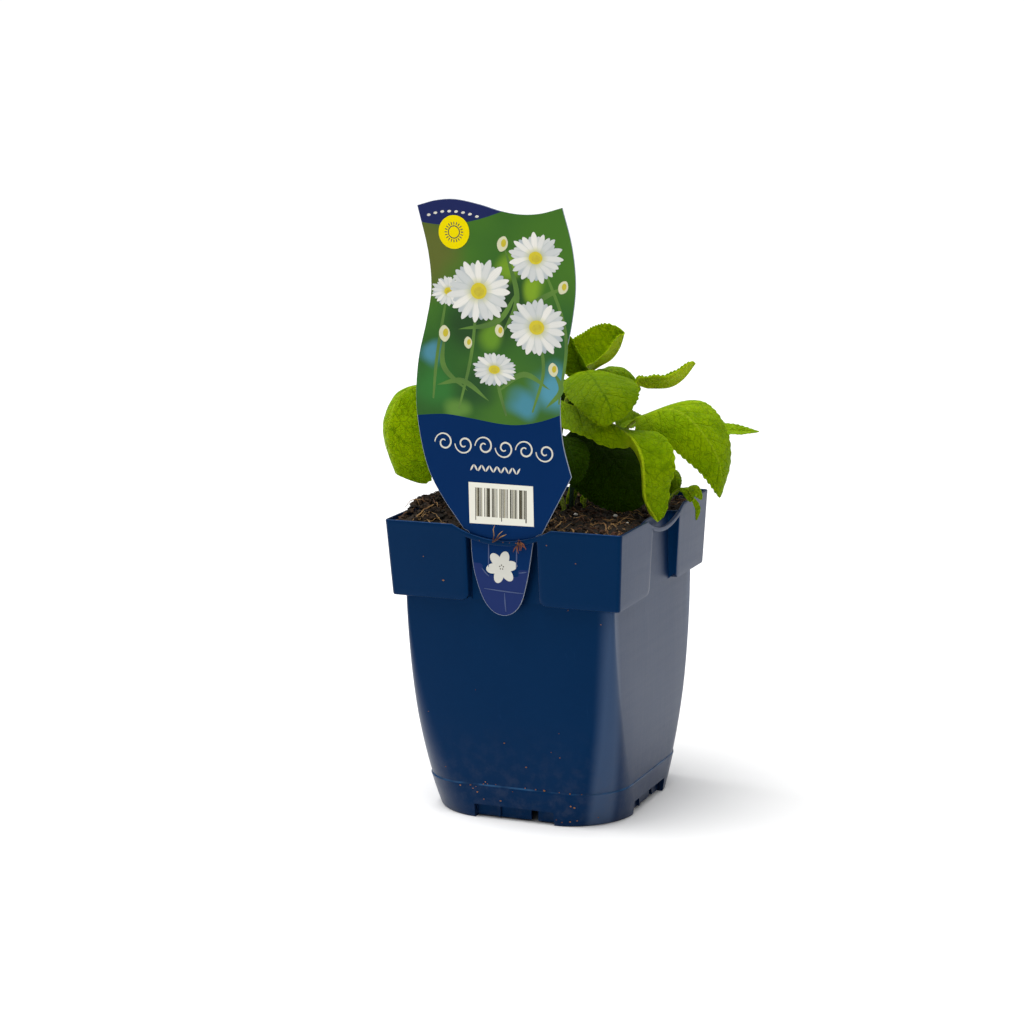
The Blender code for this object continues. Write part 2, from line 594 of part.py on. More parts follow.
def leaf_faces(rows, columns):
    """Triangles of the leaf, split alike on the upper and the lower face."""
    faces = []
    under = rows * columns
    for row in range(rows - 1):
        for column in range(columns - 1):
            a = row * columns + column
            b, c, d = a + 1, a + columns + 1, a + columns
            if column < (columns - 1) / 2:
                faces += [(a, b, d), (b, c, d), (a + under, d + under, b + under)]
                faces.append((b + under, d + under, c + under))
            else:
                faces += [(a, b, c), (a, c, d), (a + under, c + under, b + under)]
                faces.append((a + under, d + under, c + under))
        for a in (row * columns, (row + 1) * columns - 1):
            d = a + columns
            faces += [(a, d, a + under), (d, d + under, a + under)]
    for row in (0, rows - 1):
        for column in range(columns - 1):
            a = row * columns + column
            faces += [(a, a + under, a + 1), (a + 1, a + under, a + 1 + under)]
    return faces


def stalk_points(hole, points):
    x, y = hole_place(hole)
    return [(x, y, SOIL_EDGE - SOIL_ROOT_DEPTH), (x, y, soil_height(x, y) + 2)] + points


def make_leaf(name, leaf, material, parent):
    largest = max(leaf["half_widths"])
    teeth = 10 if largest > 9 else 8
    stalk = stalk_points(leaf["hole"], leaf["stalk"])
    stalk_rows = 3 + 2 * len(leaf["stalk"])
    points, faces = leaf_mesh(stalk, leaf, 5, teeth, stalk_rows, STALK_RADIUS)
    thing = make_object(name, points, faces, material, parent)
    turn_faces_out(thing)
    return thing


def make_shoot(material, parent):
    stalk = stalk_points(SHOOT["hole"], SHOOT["stalk"])
    plain = {"fold": (-8, -8), "curl": (-20, -20), "blunt": (0.5, 0.6)}
    pieces = []
    for number, leaf in enumerate(SHOOT["leaves"]):
        first = SHOOT["leaves"][0]["midrib"]
        start = stalk if number == 0 else first[:2] if number == 1 else first[1:3]
        points, faces = leaf_mesh(start, {**plain, **leaf}, 3, 3, 6 if number == 0 else 2, 0.6)
        piece = make_object("side_shoot" if number == 0 else "shoot_leaf", points, faces, material,
                            parent if number == 0 else None)
        turn_faces_out(piece)
        pieces.append(piece)
    apply_collection(pieces[0], pieces[1:], "UNION")
    return pieces[0]


def centre_over_origin(anchor, things):
    """Moves the whole part so that the middle of its box stands over the origin."""
    bpy.context.view_layer.update()
    corners = [thing.matrix_world @ vertex.co for thing in things for vertex in thing.data.vertices]
    anchor.location.x = -(min(c.x for c in corners) + max(c.x for c in corners)) / 2
    anchor.location.y = -(min(c.y for c in corners) + max(c.y for c in corners)) / 2
    bpy.context.view_layer.update()


def main():
    remove_everything()
    anchor = bpy.data.objects.new("pot_centre", None)
    bpy.context.collection.objects.link(anchor)
    pot_blue = make_material("pot_plastic", (0.004, 0.022, 0.085), 0.38)
    label_plastic = make_material("label_plastic", (0.010, 0.040, 0.160), 0.32)
    compost = make_material("soil", (0.022, 0.014, 0.008), 0.95)
    leaf_green = make_material("leaf", (0.160, 0.300, 0.008), 0.48)
    holes = [(*hole_place(leaf["hole"]), STALK_RADIUS) for leaf in LEAVES.values()]
    holes.append((*hole_place(SHOOT["hole"]), 0.6))
    things = [make_pot(pot_blue, anchor), make_soil(compost, anchor, holes), make_label(label_plastic, anchor)]
    for name, leaf in LEAVES.items():
        things.append(make_leaf(name, leaf, leaf_green, anchor))
    things.append(make_shoot(leaf_green, anchor))
    centre_over_origin(anchor, things)


main()
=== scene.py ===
# A young bellflower in leaf, in a square dark blue nursery pot, with a waved plant label behind the pot's front bar.
# Sizes are in millimetres from the middle of the pot at ground level. The label's side of the pot faces -Y.
import bpy
import bmesh
import random
import numpy as np
from math import cos, exp, pi, radians, sin, sqrt
from mathutils import Matrix, Vector


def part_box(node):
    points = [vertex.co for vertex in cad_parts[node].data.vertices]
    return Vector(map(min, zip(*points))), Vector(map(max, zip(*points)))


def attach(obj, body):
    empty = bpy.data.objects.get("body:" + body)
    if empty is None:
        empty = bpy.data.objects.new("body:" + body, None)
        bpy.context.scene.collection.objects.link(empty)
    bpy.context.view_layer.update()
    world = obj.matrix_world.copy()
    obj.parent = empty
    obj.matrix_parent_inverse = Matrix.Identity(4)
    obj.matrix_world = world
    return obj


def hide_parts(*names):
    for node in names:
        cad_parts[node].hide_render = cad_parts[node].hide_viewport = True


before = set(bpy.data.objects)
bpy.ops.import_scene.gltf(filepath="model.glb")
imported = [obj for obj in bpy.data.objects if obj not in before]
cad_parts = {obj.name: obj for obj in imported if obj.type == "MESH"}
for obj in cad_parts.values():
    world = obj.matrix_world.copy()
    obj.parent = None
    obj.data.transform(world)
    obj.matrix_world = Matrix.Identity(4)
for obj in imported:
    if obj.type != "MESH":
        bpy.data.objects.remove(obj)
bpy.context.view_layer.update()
potLow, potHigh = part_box("pot")
potMiddle = Vector(((potLow.x + potHigh.x) / 2, (potLow.y + potHigh.y) / 2, 0))
mm = 0.001


def inRow(points):
    # pot millimetres to the frame's metres
    return np.array(points, float) * mm + np.array(potMiddle)


def fromFrame(points):
    # the frame's metres to pot millimetres
    return (np.array([tuple(p) for p in points]) - np.array(potMiddle)) / mm


def clamp(value, low=0.0, high=1.0):
    return min(max(value, low), high)


# Building tools. Each starts from a Blender primitive and works on it in edit mode.

def startPiece(name):
    piece = bpy.context.object
    piece.name = name
    piece.data.name = name
    return piece


def growRings(name, rings, capped=True):
    # a circle is set to the first ring, then its edge is extruded from ring to ring
    bpy.ops.object.select_all(action="DESELECT")
    bpy.ops.mesh.primitive_circle_add(vertices=len(rings[0]), radius=0.1)
    piece = startPiece(name)
    bpy.ops.object.mode_set(mode="EDIT")
    spots = None
    for level, ring in enumerate(rings):
        if level:
            bpy.ops.mesh.extrude_edges_move()
        work = bmesh.from_edit_mesh(piece.data)
        if level:
            found = {tuple(v.co): v for v in work.verts if v.select}
            corners = [found[spot] for spot in spots]
        else:
            corners = list(work.verts)
        for corner, place in zip(corners, inRow(ring)):
            corner.co = place
        spots = [tuple(v.co) for v in corners]
        bmesh.update_edit_mesh(piece.data)
    if capped:
        bpy.ops.mesh.edge_face_add()
        work = bmesh.from_edit_mesh(piece.data)
        work.verts.ensure_lookup_table()
        bpy.ops.mesh.select_all(action="DESELECT")
        for k in range(len(rings[0])):
            work.verts[k].select = True
        work.select_flush(True)
        bmesh.update_edit_mesh(piece.data)
        bpy.ops.mesh.edge_face_add()
    bpy.ops.mesh.select_all(action="SELECT")
    bpy.ops.mesh.normals_make_consistent(inside=False)
    bpy.ops.object.mode_set(mode="OBJECT")
    return piece


def skinGrid(name, rows, places=None):
    # a grid's rows are wrapped round into rings, its seam is merged and its two ends are closed
    tall, wide = len(rows), len(rows[0])
    bpy.ops.object.select_all(action="DESELECT")
    bpy.ops.mesh.primitive_grid_add(x_subdivisions=wide, y_subdivisions=tall - 1, size=0.1)
    piece = startPiece(name)
    closed = np.concatenate([rows, rows[:, :1]], axis=1)
    piece.data.vertices.foreach_set("co", inRow(closed.reshape(-1, 3)).ravel())
    if places is not None:
        setPlaces(piece, "bladePlace", np.concatenate([places, places[:, :1]], axis=1))
    bpy.ops.object.mode_set(mode="EDIT")
    bpy.ops.mesh.select_all(action="SELECT")
    bpy.ops.mesh.remove_doubles(threshold=1e-7)
    bpy.ops.mesh.select_all(action="DESELECT")
    bpy.ops.mesh.select_mode(type="EDGE")
    bpy.ops.mesh.select_non_manifold()
    bpy.ops.mesh.fill_holes(sides=0)
    bpy.ops.mesh.select_all(action="SELECT")
    bpy.ops.mesh.normals_make_consistent(inside=False)
    bpy.ops.mesh.select_mode(type="VERT")
    bpy.ops.object.mode_set(mode="OBJECT")
    return piece


def setPlaces(piece, name, values):
    # a named place on the surface for the material, one per vertex
    layer = piece.data.attributes.new(name, "FLOAT_VECTOR", "POINT")
    layer.data.foreach_set("vector", np.array(values, float).ravel())


def copied(model):
    copy = model.copy()
    copy.data = model.data.copy()
    bpy.context.collection.objects.link(copy)
    return copy


def joinPieces(pieces, name):
    bpy.ops.object.select_all(action="DESELECT")
    for piece in pieces:
        piece.select_set(True)
    bpy.context.view_layer.objects.active = pieces[0]
    if len(pieces) > 1:
        bpy.ops.object.join()
    return startPiece(name)


def cut(piece, tools, operation):
    for tool in tools:
        modifier = piece.modifiers.new("cut", "BOOLEAN")
        modifier.operation = operation
        modifier.solver = "EXACT"
        modifier.object = tool
        bpy.context.view_layer.objects.active = piece
        bpy.ops.object.modifier_apply(modifier=modifier.name)
        bpy.data.objects.remove(tool, do_unlink=True)


def block(name, low, high):
    bpy.ops.object.select_all(action="DESELECT")
    bpy.ops.mesh.primitive_cube_add(size=1)
    piece = startPiece(name)
    corners = np.array([tuple(v.co) for v in piece.data.vertices]) + 0.5
    piece.data.vertices.foreach_set("co", inRow(np.array(low) + corners * (np.array(high) - np.array(low))).ravel())
    return piece


def turned(piece, quarter):
    # quarter turns about the pot's upright axis
    about = Matrix.Translation(potMiddle) @ Matrix.Rotation(quarter * pi / 2, 4, "Z") @ Matrix.Translation(-potMiddle)
    piece.data.transform(about)
    return piece


def smooth(piece, degrees=35):
    bpy.ops.object.select_all(action="DESELECT")
    piece.select_set(True)
    bpy.context.view_layer.objects.active = piece
    bpy.ops.object.shade_smooth_by_angle(angle=radians(degrees))


def finishPiece(piece, material, slot, *nodes):
    piece.data.materials.clear()
    piece.data.materials.append(material)
    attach(piece, "root")
    if nodes:
        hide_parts(*nodes)


# Node tools

def newMaterial(name, roughness, specular=0.5, gloss=(1.0, 1.0, 1.0)):
    material = bpy.data.materials.new(name)
    material.use_nodes = True
    shader = material.node_tree.nodes["Principled BSDF"]
    setInput(shader, "Roughness", roughness)
    setInput(shader, "Specular IOR Level", specular)
    setInput(shader, "Specular Tint", (*gloss, 1.0))
    return material, shader


def setInput(node, name, value):
    # a node's input gets another node's output, or a number or colour
    socket = node.inputs[name]
    if isinstance(value, bpy.types.NodeSocket):
        node.id_data.links.new(value, socket)
    elif hasattr(value, "__len__") and len(value) < len(socket.default_value):
        socket.default_value = (*value, 1.0)
    else:
        socket.default_value = value


def addNode(kind, *wires, **settings):
    # wires go to the node's inputs in order; the first of them that is an output tells the tree
    tree = next(wire.id_data for wire in wires if isinstance(wire, bpy.types.NodeSocket))
    node = tree.nodes.new("ShaderNode" + kind)
    for key, value in settings.items():
        setattr(node, key, value)
    for number, wire in enumerate(wires):
        setInput(node, number, wire)
    return node


def sums(operation, *values):
    return addNode("Math", *values, operation=operation).outputs[0]


def times(a, b):
    return sums("MULTIPLY", a, b)


def plus(a, b):
    return sums("ADD", a, b)


def vectorSums(operation, a, b, output="Vector"):
    return addNode("VectorMath", a, b, operation=operation).outputs[output]


def blend(amount, first, second):
    node = amount.id_data.nodes.new("ShaderNodeMix")
    node.data_type = "RGBA"
    for number, value in ((0, amount), (6, first), (7, second)):
        setInput(node, number, value)
    return node.outputs[2]


def ramp(value, low, high, bottom=0.0, top=1.0):
    return addNode("MapRange", value, low, high, bottom, top, interpolation_type="SMOOTHSTEP").outputs[0]


def noise(place, scale, detail=3.0, roughness=0.5, output="Fac"):
    node = addNode("TexNoise", place)
    for name, value in (("Scale", scale), ("Detail", detail), ("Roughness", roughness)):
        setInput(node, name, value)
    return node.outputs[output]


def cells(place, scale, feature="F1"):
    node = addNode("TexVoronoi", place, feature=feature)
    setInput(node, "Scale", scale)
    return node


def stretched(place, stretch):
    node = addNode("Mapping", place)
    setInput(node, "Scale", stretch)
    return node.outputs[0]


def setBump(shader, height, distance, strength=1.0):
    node = shader.id_data.nodes.new("ShaderNodeBump")
    for name, value in (("Strength", strength), ("Distance", distance), ("Height", height)):
        setInput(node, name, value)
    setInput(shader, "Normal", node.outputs[0])


def objectPlace(shader):
    return shader.id_data.nodes.new("ShaderNodeTexCoord").outputs["Object"]


def storedPlace(shader, name):
    # the three numbers that setPlaces keeps at each vertex
    node = shader.id_data.nodes.new("ShaderNodeAttribute")
    node.attribute_name = name
    return addNode("SeparateXYZ", node.outputs["Vector"]).outputs


def tonedMaterial(name, colours, scale=60.0, detail=3.0, span=None, roughness=0.34, specular=0.5,
                  gloss=(1.0, 1.0, 1.0), grain=None):
    # two colours that pass into each other in soft patches
    # span sharpens the change, and grain is the bump's scale, detail, depth and strength
    material, shader = newMaterial(name, roughness, specular, gloss)
    place = objectPlace(shader)
    tone = noise(place, scale, detail)
    if span:
        tone = ramp(tone, *span)
    setInput(shader, "Base Color", blend(tone, *colours))
    if grain:
        setBump(shader, noise(place, grain[0], grain[1]), grain[2], grain[3])
    return material


# Camera, light and floor

view = {"lens": 93.39, "yaw": 23.6, "pitch": 11.353, "roll": -0.957,
        "distance": 1179.88, "across": -17.019, "height": 129.961}


def makeCamera():
    yaw, pitch, roll = (radians(view[key]) for key in ("yaw", "pitch", "roll"))
    back = Vector((sin(yaw) * cos(pitch), -cos(yaw) * cos(pitch), sin(pitch)))
    right = Vector((cos(yaw), sin(yaw), 0))
    up = back.cross(right)
    side = right * cos(roll) + up * sin(roll)
    top = up * cos(roll) - right * sin(roll)
    place = Vector((0, 0, view["height"])) + right * view["across"] + back * view["distance"]
    bpy.ops.object.camera_add()
    camera = bpy.context.object
    camera.data.lens = view["lens"]
    camera.data.clip_start = 0.01
    turn = Matrix((side, top, back)).transposed().to_4x4()
    camera.matrix_world = Matrix.Translation(potMiddle + place * mm) @ turn
    bpy.context.scene.camera = camera


studio = {
    # place, size and power of each soft light, aimed at the plant
    "lights": [
        {"name": "topLight", "place": (-150, -250, 1300), "size": 0.9, "power": 12.5},
        {"name": "sideLight", "place": (-1100, 100, 900), "size": 0.6, "power": 6.0}],
    "horizon": 0.12, "overhead": 1.5,
    # the floor is metres wide, and glows faintly far from the pot so that it stays pale
    "floorRadius": 200.0, "floorTones": ((0.86, 0.86, 0.86), (0.88, 0.88, 0.88)),
    "glowFrom": (0.35, 1.6), "farGlow": 0.3}


def makeStudio():
    target = potMiddle + Vector((0, 0, 120)) * mm
    for light in studio["lights"]:
        place = potMiddle + Vector(light["place"]) * mm
        bpy.ops.object.light_add(type="AREA", location=place)
        lamp = bpy.context.object
        lamp.name = light["name"]
        lamp.data.size = light["size"]
        lamp.data.energy = light["power"]
        lamp.rotation_euler = (target - place).to_track_quat("-Z", "Y").to_euler()
    world = bpy.data.worlds.new("studioLight")
    world.use_nodes = True
    tree = world.node_tree
    height = addNode("SeparateXYZ", tree.nodes.new("ShaderNodeTexCoord").outputs["Generated"]).outputs[2]
    glow = sums("POWER", sums("MAXIMUM", height, 0.0), 2.0)
    background = tree.nodes["Background"]
    setInput(background, "Color", (1.0, 1.0, 1.0))
    setInput(background, "Strength", sums("MULTIPLY_ADD", glow, studio["overhead"], studio["horizon"]))
    bpy.context.scene.world = world
    bpy.context.scene.view_settings.view_transform = "Standard"
    bpy.ops.object.select_all(action="DESELECT")
    bpy.ops.mesh.primitive_circle_add(vertices=96, radius=studio["floorRadius"], fill_type="NGON")
    floor = startPiece("floor")
    material, shader = newMaterial("paleFloor", 0.8, 0.1)
    place = objectPlace(shader)
    setInput(shader, "Base Color", blend(noise(place, 3.0), *studio["floorTones"]))
    away = addNode("VectorMath", place, operation="LENGTH").outputs["Value"]
    setInput(shader, "Emission Color", (1.0, 1.0, 1.0))
    setInput(shader, "Emission Strength", ramp(away, *studio["glowFrom"], 0.0, studio["farGlow"]))
    floor.data.materials.append(material)


makeCamera()
makeStudio()
print("camera, lights and floor are set")

# Pot

pot = {
    "height": 133.4, "rimHalf": 55.0, "bandHeight": 33.7, "bandFootHalf": 53.1, "bodyTopHalf": 48.8,
    "bodyFootHalf": 45.5, "topCorner": 1.6, "footCorner": 29.0, "cornerSteps": 14, "wall": 1.2,
    "seamHeight": 15.6, "seamStep": 0.35, "floorUnder": 4.5, "floorTop": 7.5, "skirt": 4.0,
    "recessHalf": 16.5, "recessFloorHalf": 49.8, "recessDraft": 0.6, "recessTop": 131.6,
    "dipHalf": 23.0, "dipDepth": 5.8, "barHeight": 2.2, "barThick": 1.4, "panelEdge": 0.45, "panelCorner": 3.5,
    "notchHalf": 18.85, "notchHeight": 6.3, "notchDepth": 2.3, "notchLift": 0.8,
    "outletX": 8.8, "outletWide": 3.3, "ribX": -7.6,
    "drains": [(0, 0), (20, 20), (-20, 20), (-20, -20), (20, -20)], "drainRadius": 4.5,
    # heights of the rings below and above the seam and inside, and their shares of the way up the band
    "footLevels": (0.6, 2, 4, 6.5, 9, 12, 14),
    "bodyLevels": (16.6, 19, 22, 25, 29, 33, 38, 43, 49, 56, 63, 71, 80, 88, 95),
    "insideLevels": (80, 50, 35, 22, 14), "bandShares": (0.03, 0.1, 0.3, 0.5, 0.7, 0.85, 0.94),
    "insideShares": (0.93, 0.5, 0.12),
    # the rounded rim: how far in and how far below the top each ring lies
    "lip": ((0.0, 0.7), (0.08, 0.28), (0.35, 0.0), (0.85, 0.0), (1.12, 0.28)),
    "blues": ((0.0004, 0.009, 0.037), (0.0009, 0.0125, 0.047)), "gloss": (0.02, 0.22, 0.65),
    # the pale corner blue and its spans paint a highlight on the pot's lit right corner
    "scuffBlue": (0.02, 0.05, 0.13), "cornerHighlightBlue": (0.055, 0.082, 0.14), "seamHighlightBlue": (0.03, 0.1, 0.22),
    "dustGrey": (0.06, 0.06, 0.075),
    "cornerHighlightFrom": 0.84, "cornerHighlightTop": (0.101, 0.097)}
potFoot = pot["height"] - pot["bandHeight"]


def bodySize(z):
    # half the body's width and its corner radius at a height
    below = clamp(1 - z / potFoot)
    half = pot["bodyTopHalf"] - (pot["bodyTopHalf"] - pot["bodyFootHalf"]) * below ** 4
    return half, pot["topCorner"] + (pot["footCorner"] - pot["topCorner"]) * below ** 1.7


def rimDip(x):
    # how far the rim's arc lies below its corners
    if abs(x) >= pot["dipHalf"]:
        return 0.0
    radius = (pot["dipHalf"] ** 2 + pot["dipDepth"] ** 2) / (2 * pot["dipDepth"])
    return sqrt(radius ** 2 - x ** 2) - (radius - pot["dipDepth"])


def sideProfile(depth, widen):
    # one side of the pot from left to right: its panel edges are rounded, the recess between them lies deeper
    outer = pot["recessHalf"] + widen
    edge = min(pot["panelEdge"], max(depth, 0.2) * 0.4)
    half = [(-pot["dipHalf"], 0.0), (-outer - 3.6, 0.0), (-outer - 1.8, 0.0)]
    for step in range(5):
        angle = pi / 2 * (1 - step / 4)
        half.append((-outer - edge + edge * cos(angle), (edge - edge * sin(angle)) if depth else 0.0))
    inner = outer - pot["recessDraft"]
    half.append((-inner - 0.1, max(depth - 0.45, depth * 0.8)))
    half.append((-inner + 0.05, max(depth - 0.12, depth * 0.95)))
    half.append((-inner + 0.5, depth))
    for share in (0.8, 0.6, 0.4, 0.2):
        half.append((-inner * share, depth))
    return half + [(0.0, depth)] + [(-x, y) for x, y in reversed(half)]


def potRing(half, corner, inset, z, widen=0.0):
    # z is a height, or a rule that gives it from x along a side and the depth there
    ring = []
    straight = half - corner
    squeeze = min(1.0, (straight - 0.8) / pot["dipHalf"])
    level = []
    for x, depth in sideProfile(inset, widen):
        level.append((x * squeeze, -half + depth, z(x, depth) if callable(z) else z))
    for step in range(pot["cornerSteps"] + 1):
        angle = -pi / 2 + step / pot["cornerSteps"] * pi / 2
        x, y = straight + corner * cos(angle), -straight + corner * sin(angle)
        level.append((x, y, z(pot["dipHalf"] + 1, 0.0) if callable(z) else z))
    for quarter in range(4):
        c, s = (1, 0, -1, 0)[quarter], (0, 1, 0, -1)[quarter]
        ring += [(x * c - y * s, x * s + y * c, height) for x, y, height in level]
    return ring


def shrunk(half, corner, by):
    return half - by, max(corner - by, 0.4)


def rimLevel(share, lower=0.0):
    # height of a ring of the band, share of the way from the band's foot to the waved rim
    def level(x, depth):
        sunk = min(1.0, depth / 5.0)
        wall = pot["recessTop"] - 1.2 * clamp((abs(x) - 12.0) / 4.0)
        top = (pot["height"] - rimDip(x)) * (1 - sunk) + wall * sunk - lower
        low = potFoot + panelLift(x, depth)
        return low + (top - low) * share
    return level


def panelLift(x, depth):
    # the panels' lower corners beside each recess are rounded
    inside = abs(x) - pot["recessHalf"]
    radius = pot["panelCorner"]
    if inside >= radius or depth > 3:
        return 0.0
    inside = max(inside, 0.0)
    lift = radius - sqrt(radius ** 2 - (radius - inside) ** 2)
    return lift * max(0.0, 1 - depth / 3)


def potRings():
    # from the underside of the floor, round the foot, up the outside, over the rim and down the inside
    half, corner = bodySize(0)
    inner = shrunk(half, corner, pot["skirt"])
    rings = [potRing(*inner, 0, pot["floorUnder"]), potRing(*inner, 0, 0.3)]
    rings.append(potRing(inner[0] + 0.3, inner[1] + 0.3, 0, 0.0))
    rings += [potRing(half - 0.5, corner - 0.5, 0, 0.0), potRing(half - 0.12, corner - 0.12, 0, 0.15)]
    rings += [potRing(*bodySize(z), 0, z) for z in pot["footLevels"]]
    seam, step = pot["seamHeight"], pot["seamStep"]
    half, corner = bodySize(seam)
    for share, lower in ((0.0, 0.45), (0.3, 0.12), (1.0, 0.0)):
        rings.append(potRing(half - step * share, corner, 0, seam - lower))
    for z in pot["bodyLevels"]:
        half, corner = bodySize(z)
        rings.append(potRing(half - max(0.0, step * (1 - (z - seam) / 30)), corner, 0, z))
    rings.append(potRing(pot["bodyTopHalf"], pot["topCorner"], 0, lambda x, depth: potFoot + panelLift(x, 0.0)))

    def bandRing(share, inwards=0.0, lower=0.0):
        half = pot["bandFootHalf"] + (pot["rimHalf"] - pot["bandFootHalf"]) * share
        size = shrunk(half, pot["topCorner"], inwards)
        return potRing(*size, half - pot["recessFloorHalf"], rimLevel(share, lower), inwards)

    width = pot["bandFootHalf"]
    inset = width - pot["recessFloorHalf"]
    for inwards, share in ((0.45, 0.0), (0.1, 0.006)):
        rings.append(potRing(width - inwards, pot["topCorner"], inset - inwards, rimLevel(share)))
    rings += [bandRing(share) for share in pot["bandShares"]]
    rings += [bandRing(1.0, inwards, lower) for inwards, lower in pot["lip"]]
    rings += [bandRing(share, pot["wall"]) for share in pot["insideShares"]]
    rings.append(potRing(*shrunk(width, pot["topCorner"], pot["wall"]), inset, potFoot + pot["wall"], pot["wall"]))
    for z in (potFoot + pot["wall"], *pot["insideLevels"], pot["floorTop"]):
        rings.append(potRing(*shrunk(*bodySize(min(z, potFoot)), pot["wall"]), 0, z, pot["wall"]))
    return rings


def frontBar():
    # the arched bar that bridges a recess: a rounded section carried along the rim's arc
    reach, thick, tall = pot["recessHalf"] + 0.5, pot["barThick"], pot["barHeight"]
    front = -pot["rimHalf"] + 0.04
    rings = []
    for step in range(25):
        x = -reach + 2 * reach * step / 24
        top = pot["height"] - rimDip(x) - 0.04
        ring = []
        for y, z, radius, start in ((thick - 0.5, -0.5, 0.5, 0), (0.45, -0.45, 0.45, 90),
                                    (0.3, 0.3 - tall, 0.3, 180), (thick - 0.3, 0.3 - tall, 0.3, 270)):
            for turn in (0, 30, 60, 90):
                angle = radians(start + turn)
                ring.append((x, front + y + radius * cos(angle), top + z + radius * sin(angle)))
        rings.append(ring)
    return growRings("bar", rings)


def makePot(material):
    piece = growRings("nurseryPot", potRings())
    cut(piece, [turned(frontBar(), quarter) for quarter in range(4)], "UNION")
    foot, wide, rib, half = pot["bodyFootHalf"], pot["notchHalf"], pot["ribX"], pot["outletWide"] / 2
    deep, tall, below = -foot + pot["notchDepth"], pot["notchHeight"], -5
    notches = [  # two halves beside a thin rib, the rib's own recess, the shallow lift, and the outlet
        ((-wide, -foot - 5, below), (rib - 0.45, deep, tall)), ((rib + 0.45, -foot - 5, below), (wide, deep, tall)),
        ((rib - 1, -foot - 5, below), (rib + 1, -foot + 1.2, tall - 0.01)),
        ((-wide, -foot - 1, below), (wide, -foot + pot["skirt"] + 1, pot["notchLift"])),
        ((pot["outletX"] - half, -foot, below), (pot["outletX"] + half, -foot + pot["skirt"] + 2, tall - 0.5))]
    tools = [turned(block("notch", *corners), quarter) for quarter in range(4) for corners in notches]
    for x, y in pot["drains"]:
        bpy.ops.object.select_all(action="DESELECT")
        bpy.ops.mesh.primitive_cylinder_add(vertices=32, radius=pot["drainRadius"] * mm, depth=0.03)
        drain = startPiece("drain")
        drain.data.transform(Matrix.Translation(potMiddle + Vector((x, y, 5)) * mm))
        tools.append(drain)
    cut(piece, tools, "DIFFERENCE")
    smooth(piece, 32)
    finishPiece(piece, material, "pot_plastic", "pot")


def potPlastic():
    material, shader = newMaterial("potPlastic", 0.36, 0.5, pot["gloss"])
    place = objectPlace(shader)
    base = blend(noise(place, 26.0, 4.0), *pot["blues"])
    rubbed = ramp(noise(stretched(place, (60.0, 60.0, 9.0)), 9.0, 6.0, 0.7), 0.62, 0.8)
    base = blend(times(rubbed, 0.25), base, pot["scuffBlue"])
    # painted highlight: the front right corner is painted paler on its lit right side, from the band down and more
    # widely towards the foot
    across, deep, height = addNode("SeparateXYZ", place).outputs
    across, deep = sums("SUBTRACT", across, potMiddle.x), sums("SUBTRACT", deep, potMiddle.y)
    rightward = ramp(across, 0.0, 0.02)
    across, deep = sums("ABSOLUTE", across), sums("ABSOLUTE", deep)
    corner = sums("DIVIDE", sums("MINIMUM", across, deep), sums("MAXIMUM", across, deep))
    lower = times(sums("SUBTRACT", pot["cornerHighlightTop"][1], height), 1.2)
    cornerHighlight = times(ramp(plus(corner, lower), pot["cornerHighlightFrom"], 0.99), ramp(height, *pot["cornerHighlightTop"]))
    base = blend(times(times(cornerHighlight, rightward), 0.75), base, pot["cornerHighlightBlue"])
    # painted highlight: a pale line, in patches, along the seam's ledge
    seam = ramp(sums("ABSOLUTE", sums("SUBTRACT", height, pot["seamHeight"] * mm)), 0.0005, 0.0002)
    patchy = ramp(noise(place, 120.0, 3.0), 0.35, 0.65, 0.1, 0.7)
    base = blend(times(seam, patchy), base, pot["seamHighlightBlue"])
    dust = times(ramp(height, 0.05, 0.0), ramp(noise(place, 190.0, 5.0, 0.65), 0.4, 0.75))
    setInput(shader, "Base Color", blend(times(dust, 0.3), base, pot["dustGrey"]))
    upright = noise(stretched(place, (30.0, 30.0, 1.2)), 14.0, 5.0, 0.7)
    level = noise(stretched(place, (1.5, 1.5, 40.0)), 12.0, 4.0, 0.7)
    setInput(shader, "Roughness", ramp(times(plus(upright, level), 0.5), 0.3, 0.7, 0.345, 0.385))
    scratch = ramp(noise(stretched(place, (30.0, 30.0, 2.0)), 20.0, 5.0, 0.75), 0.5, 0.8)
    setBump(shader, plus(noise(place, 900.0, 2.0), times(scratch, 0.6)), 0.00004, 0.5)
    return material


makePot(potPlastic())
print("pot made")

# Compost

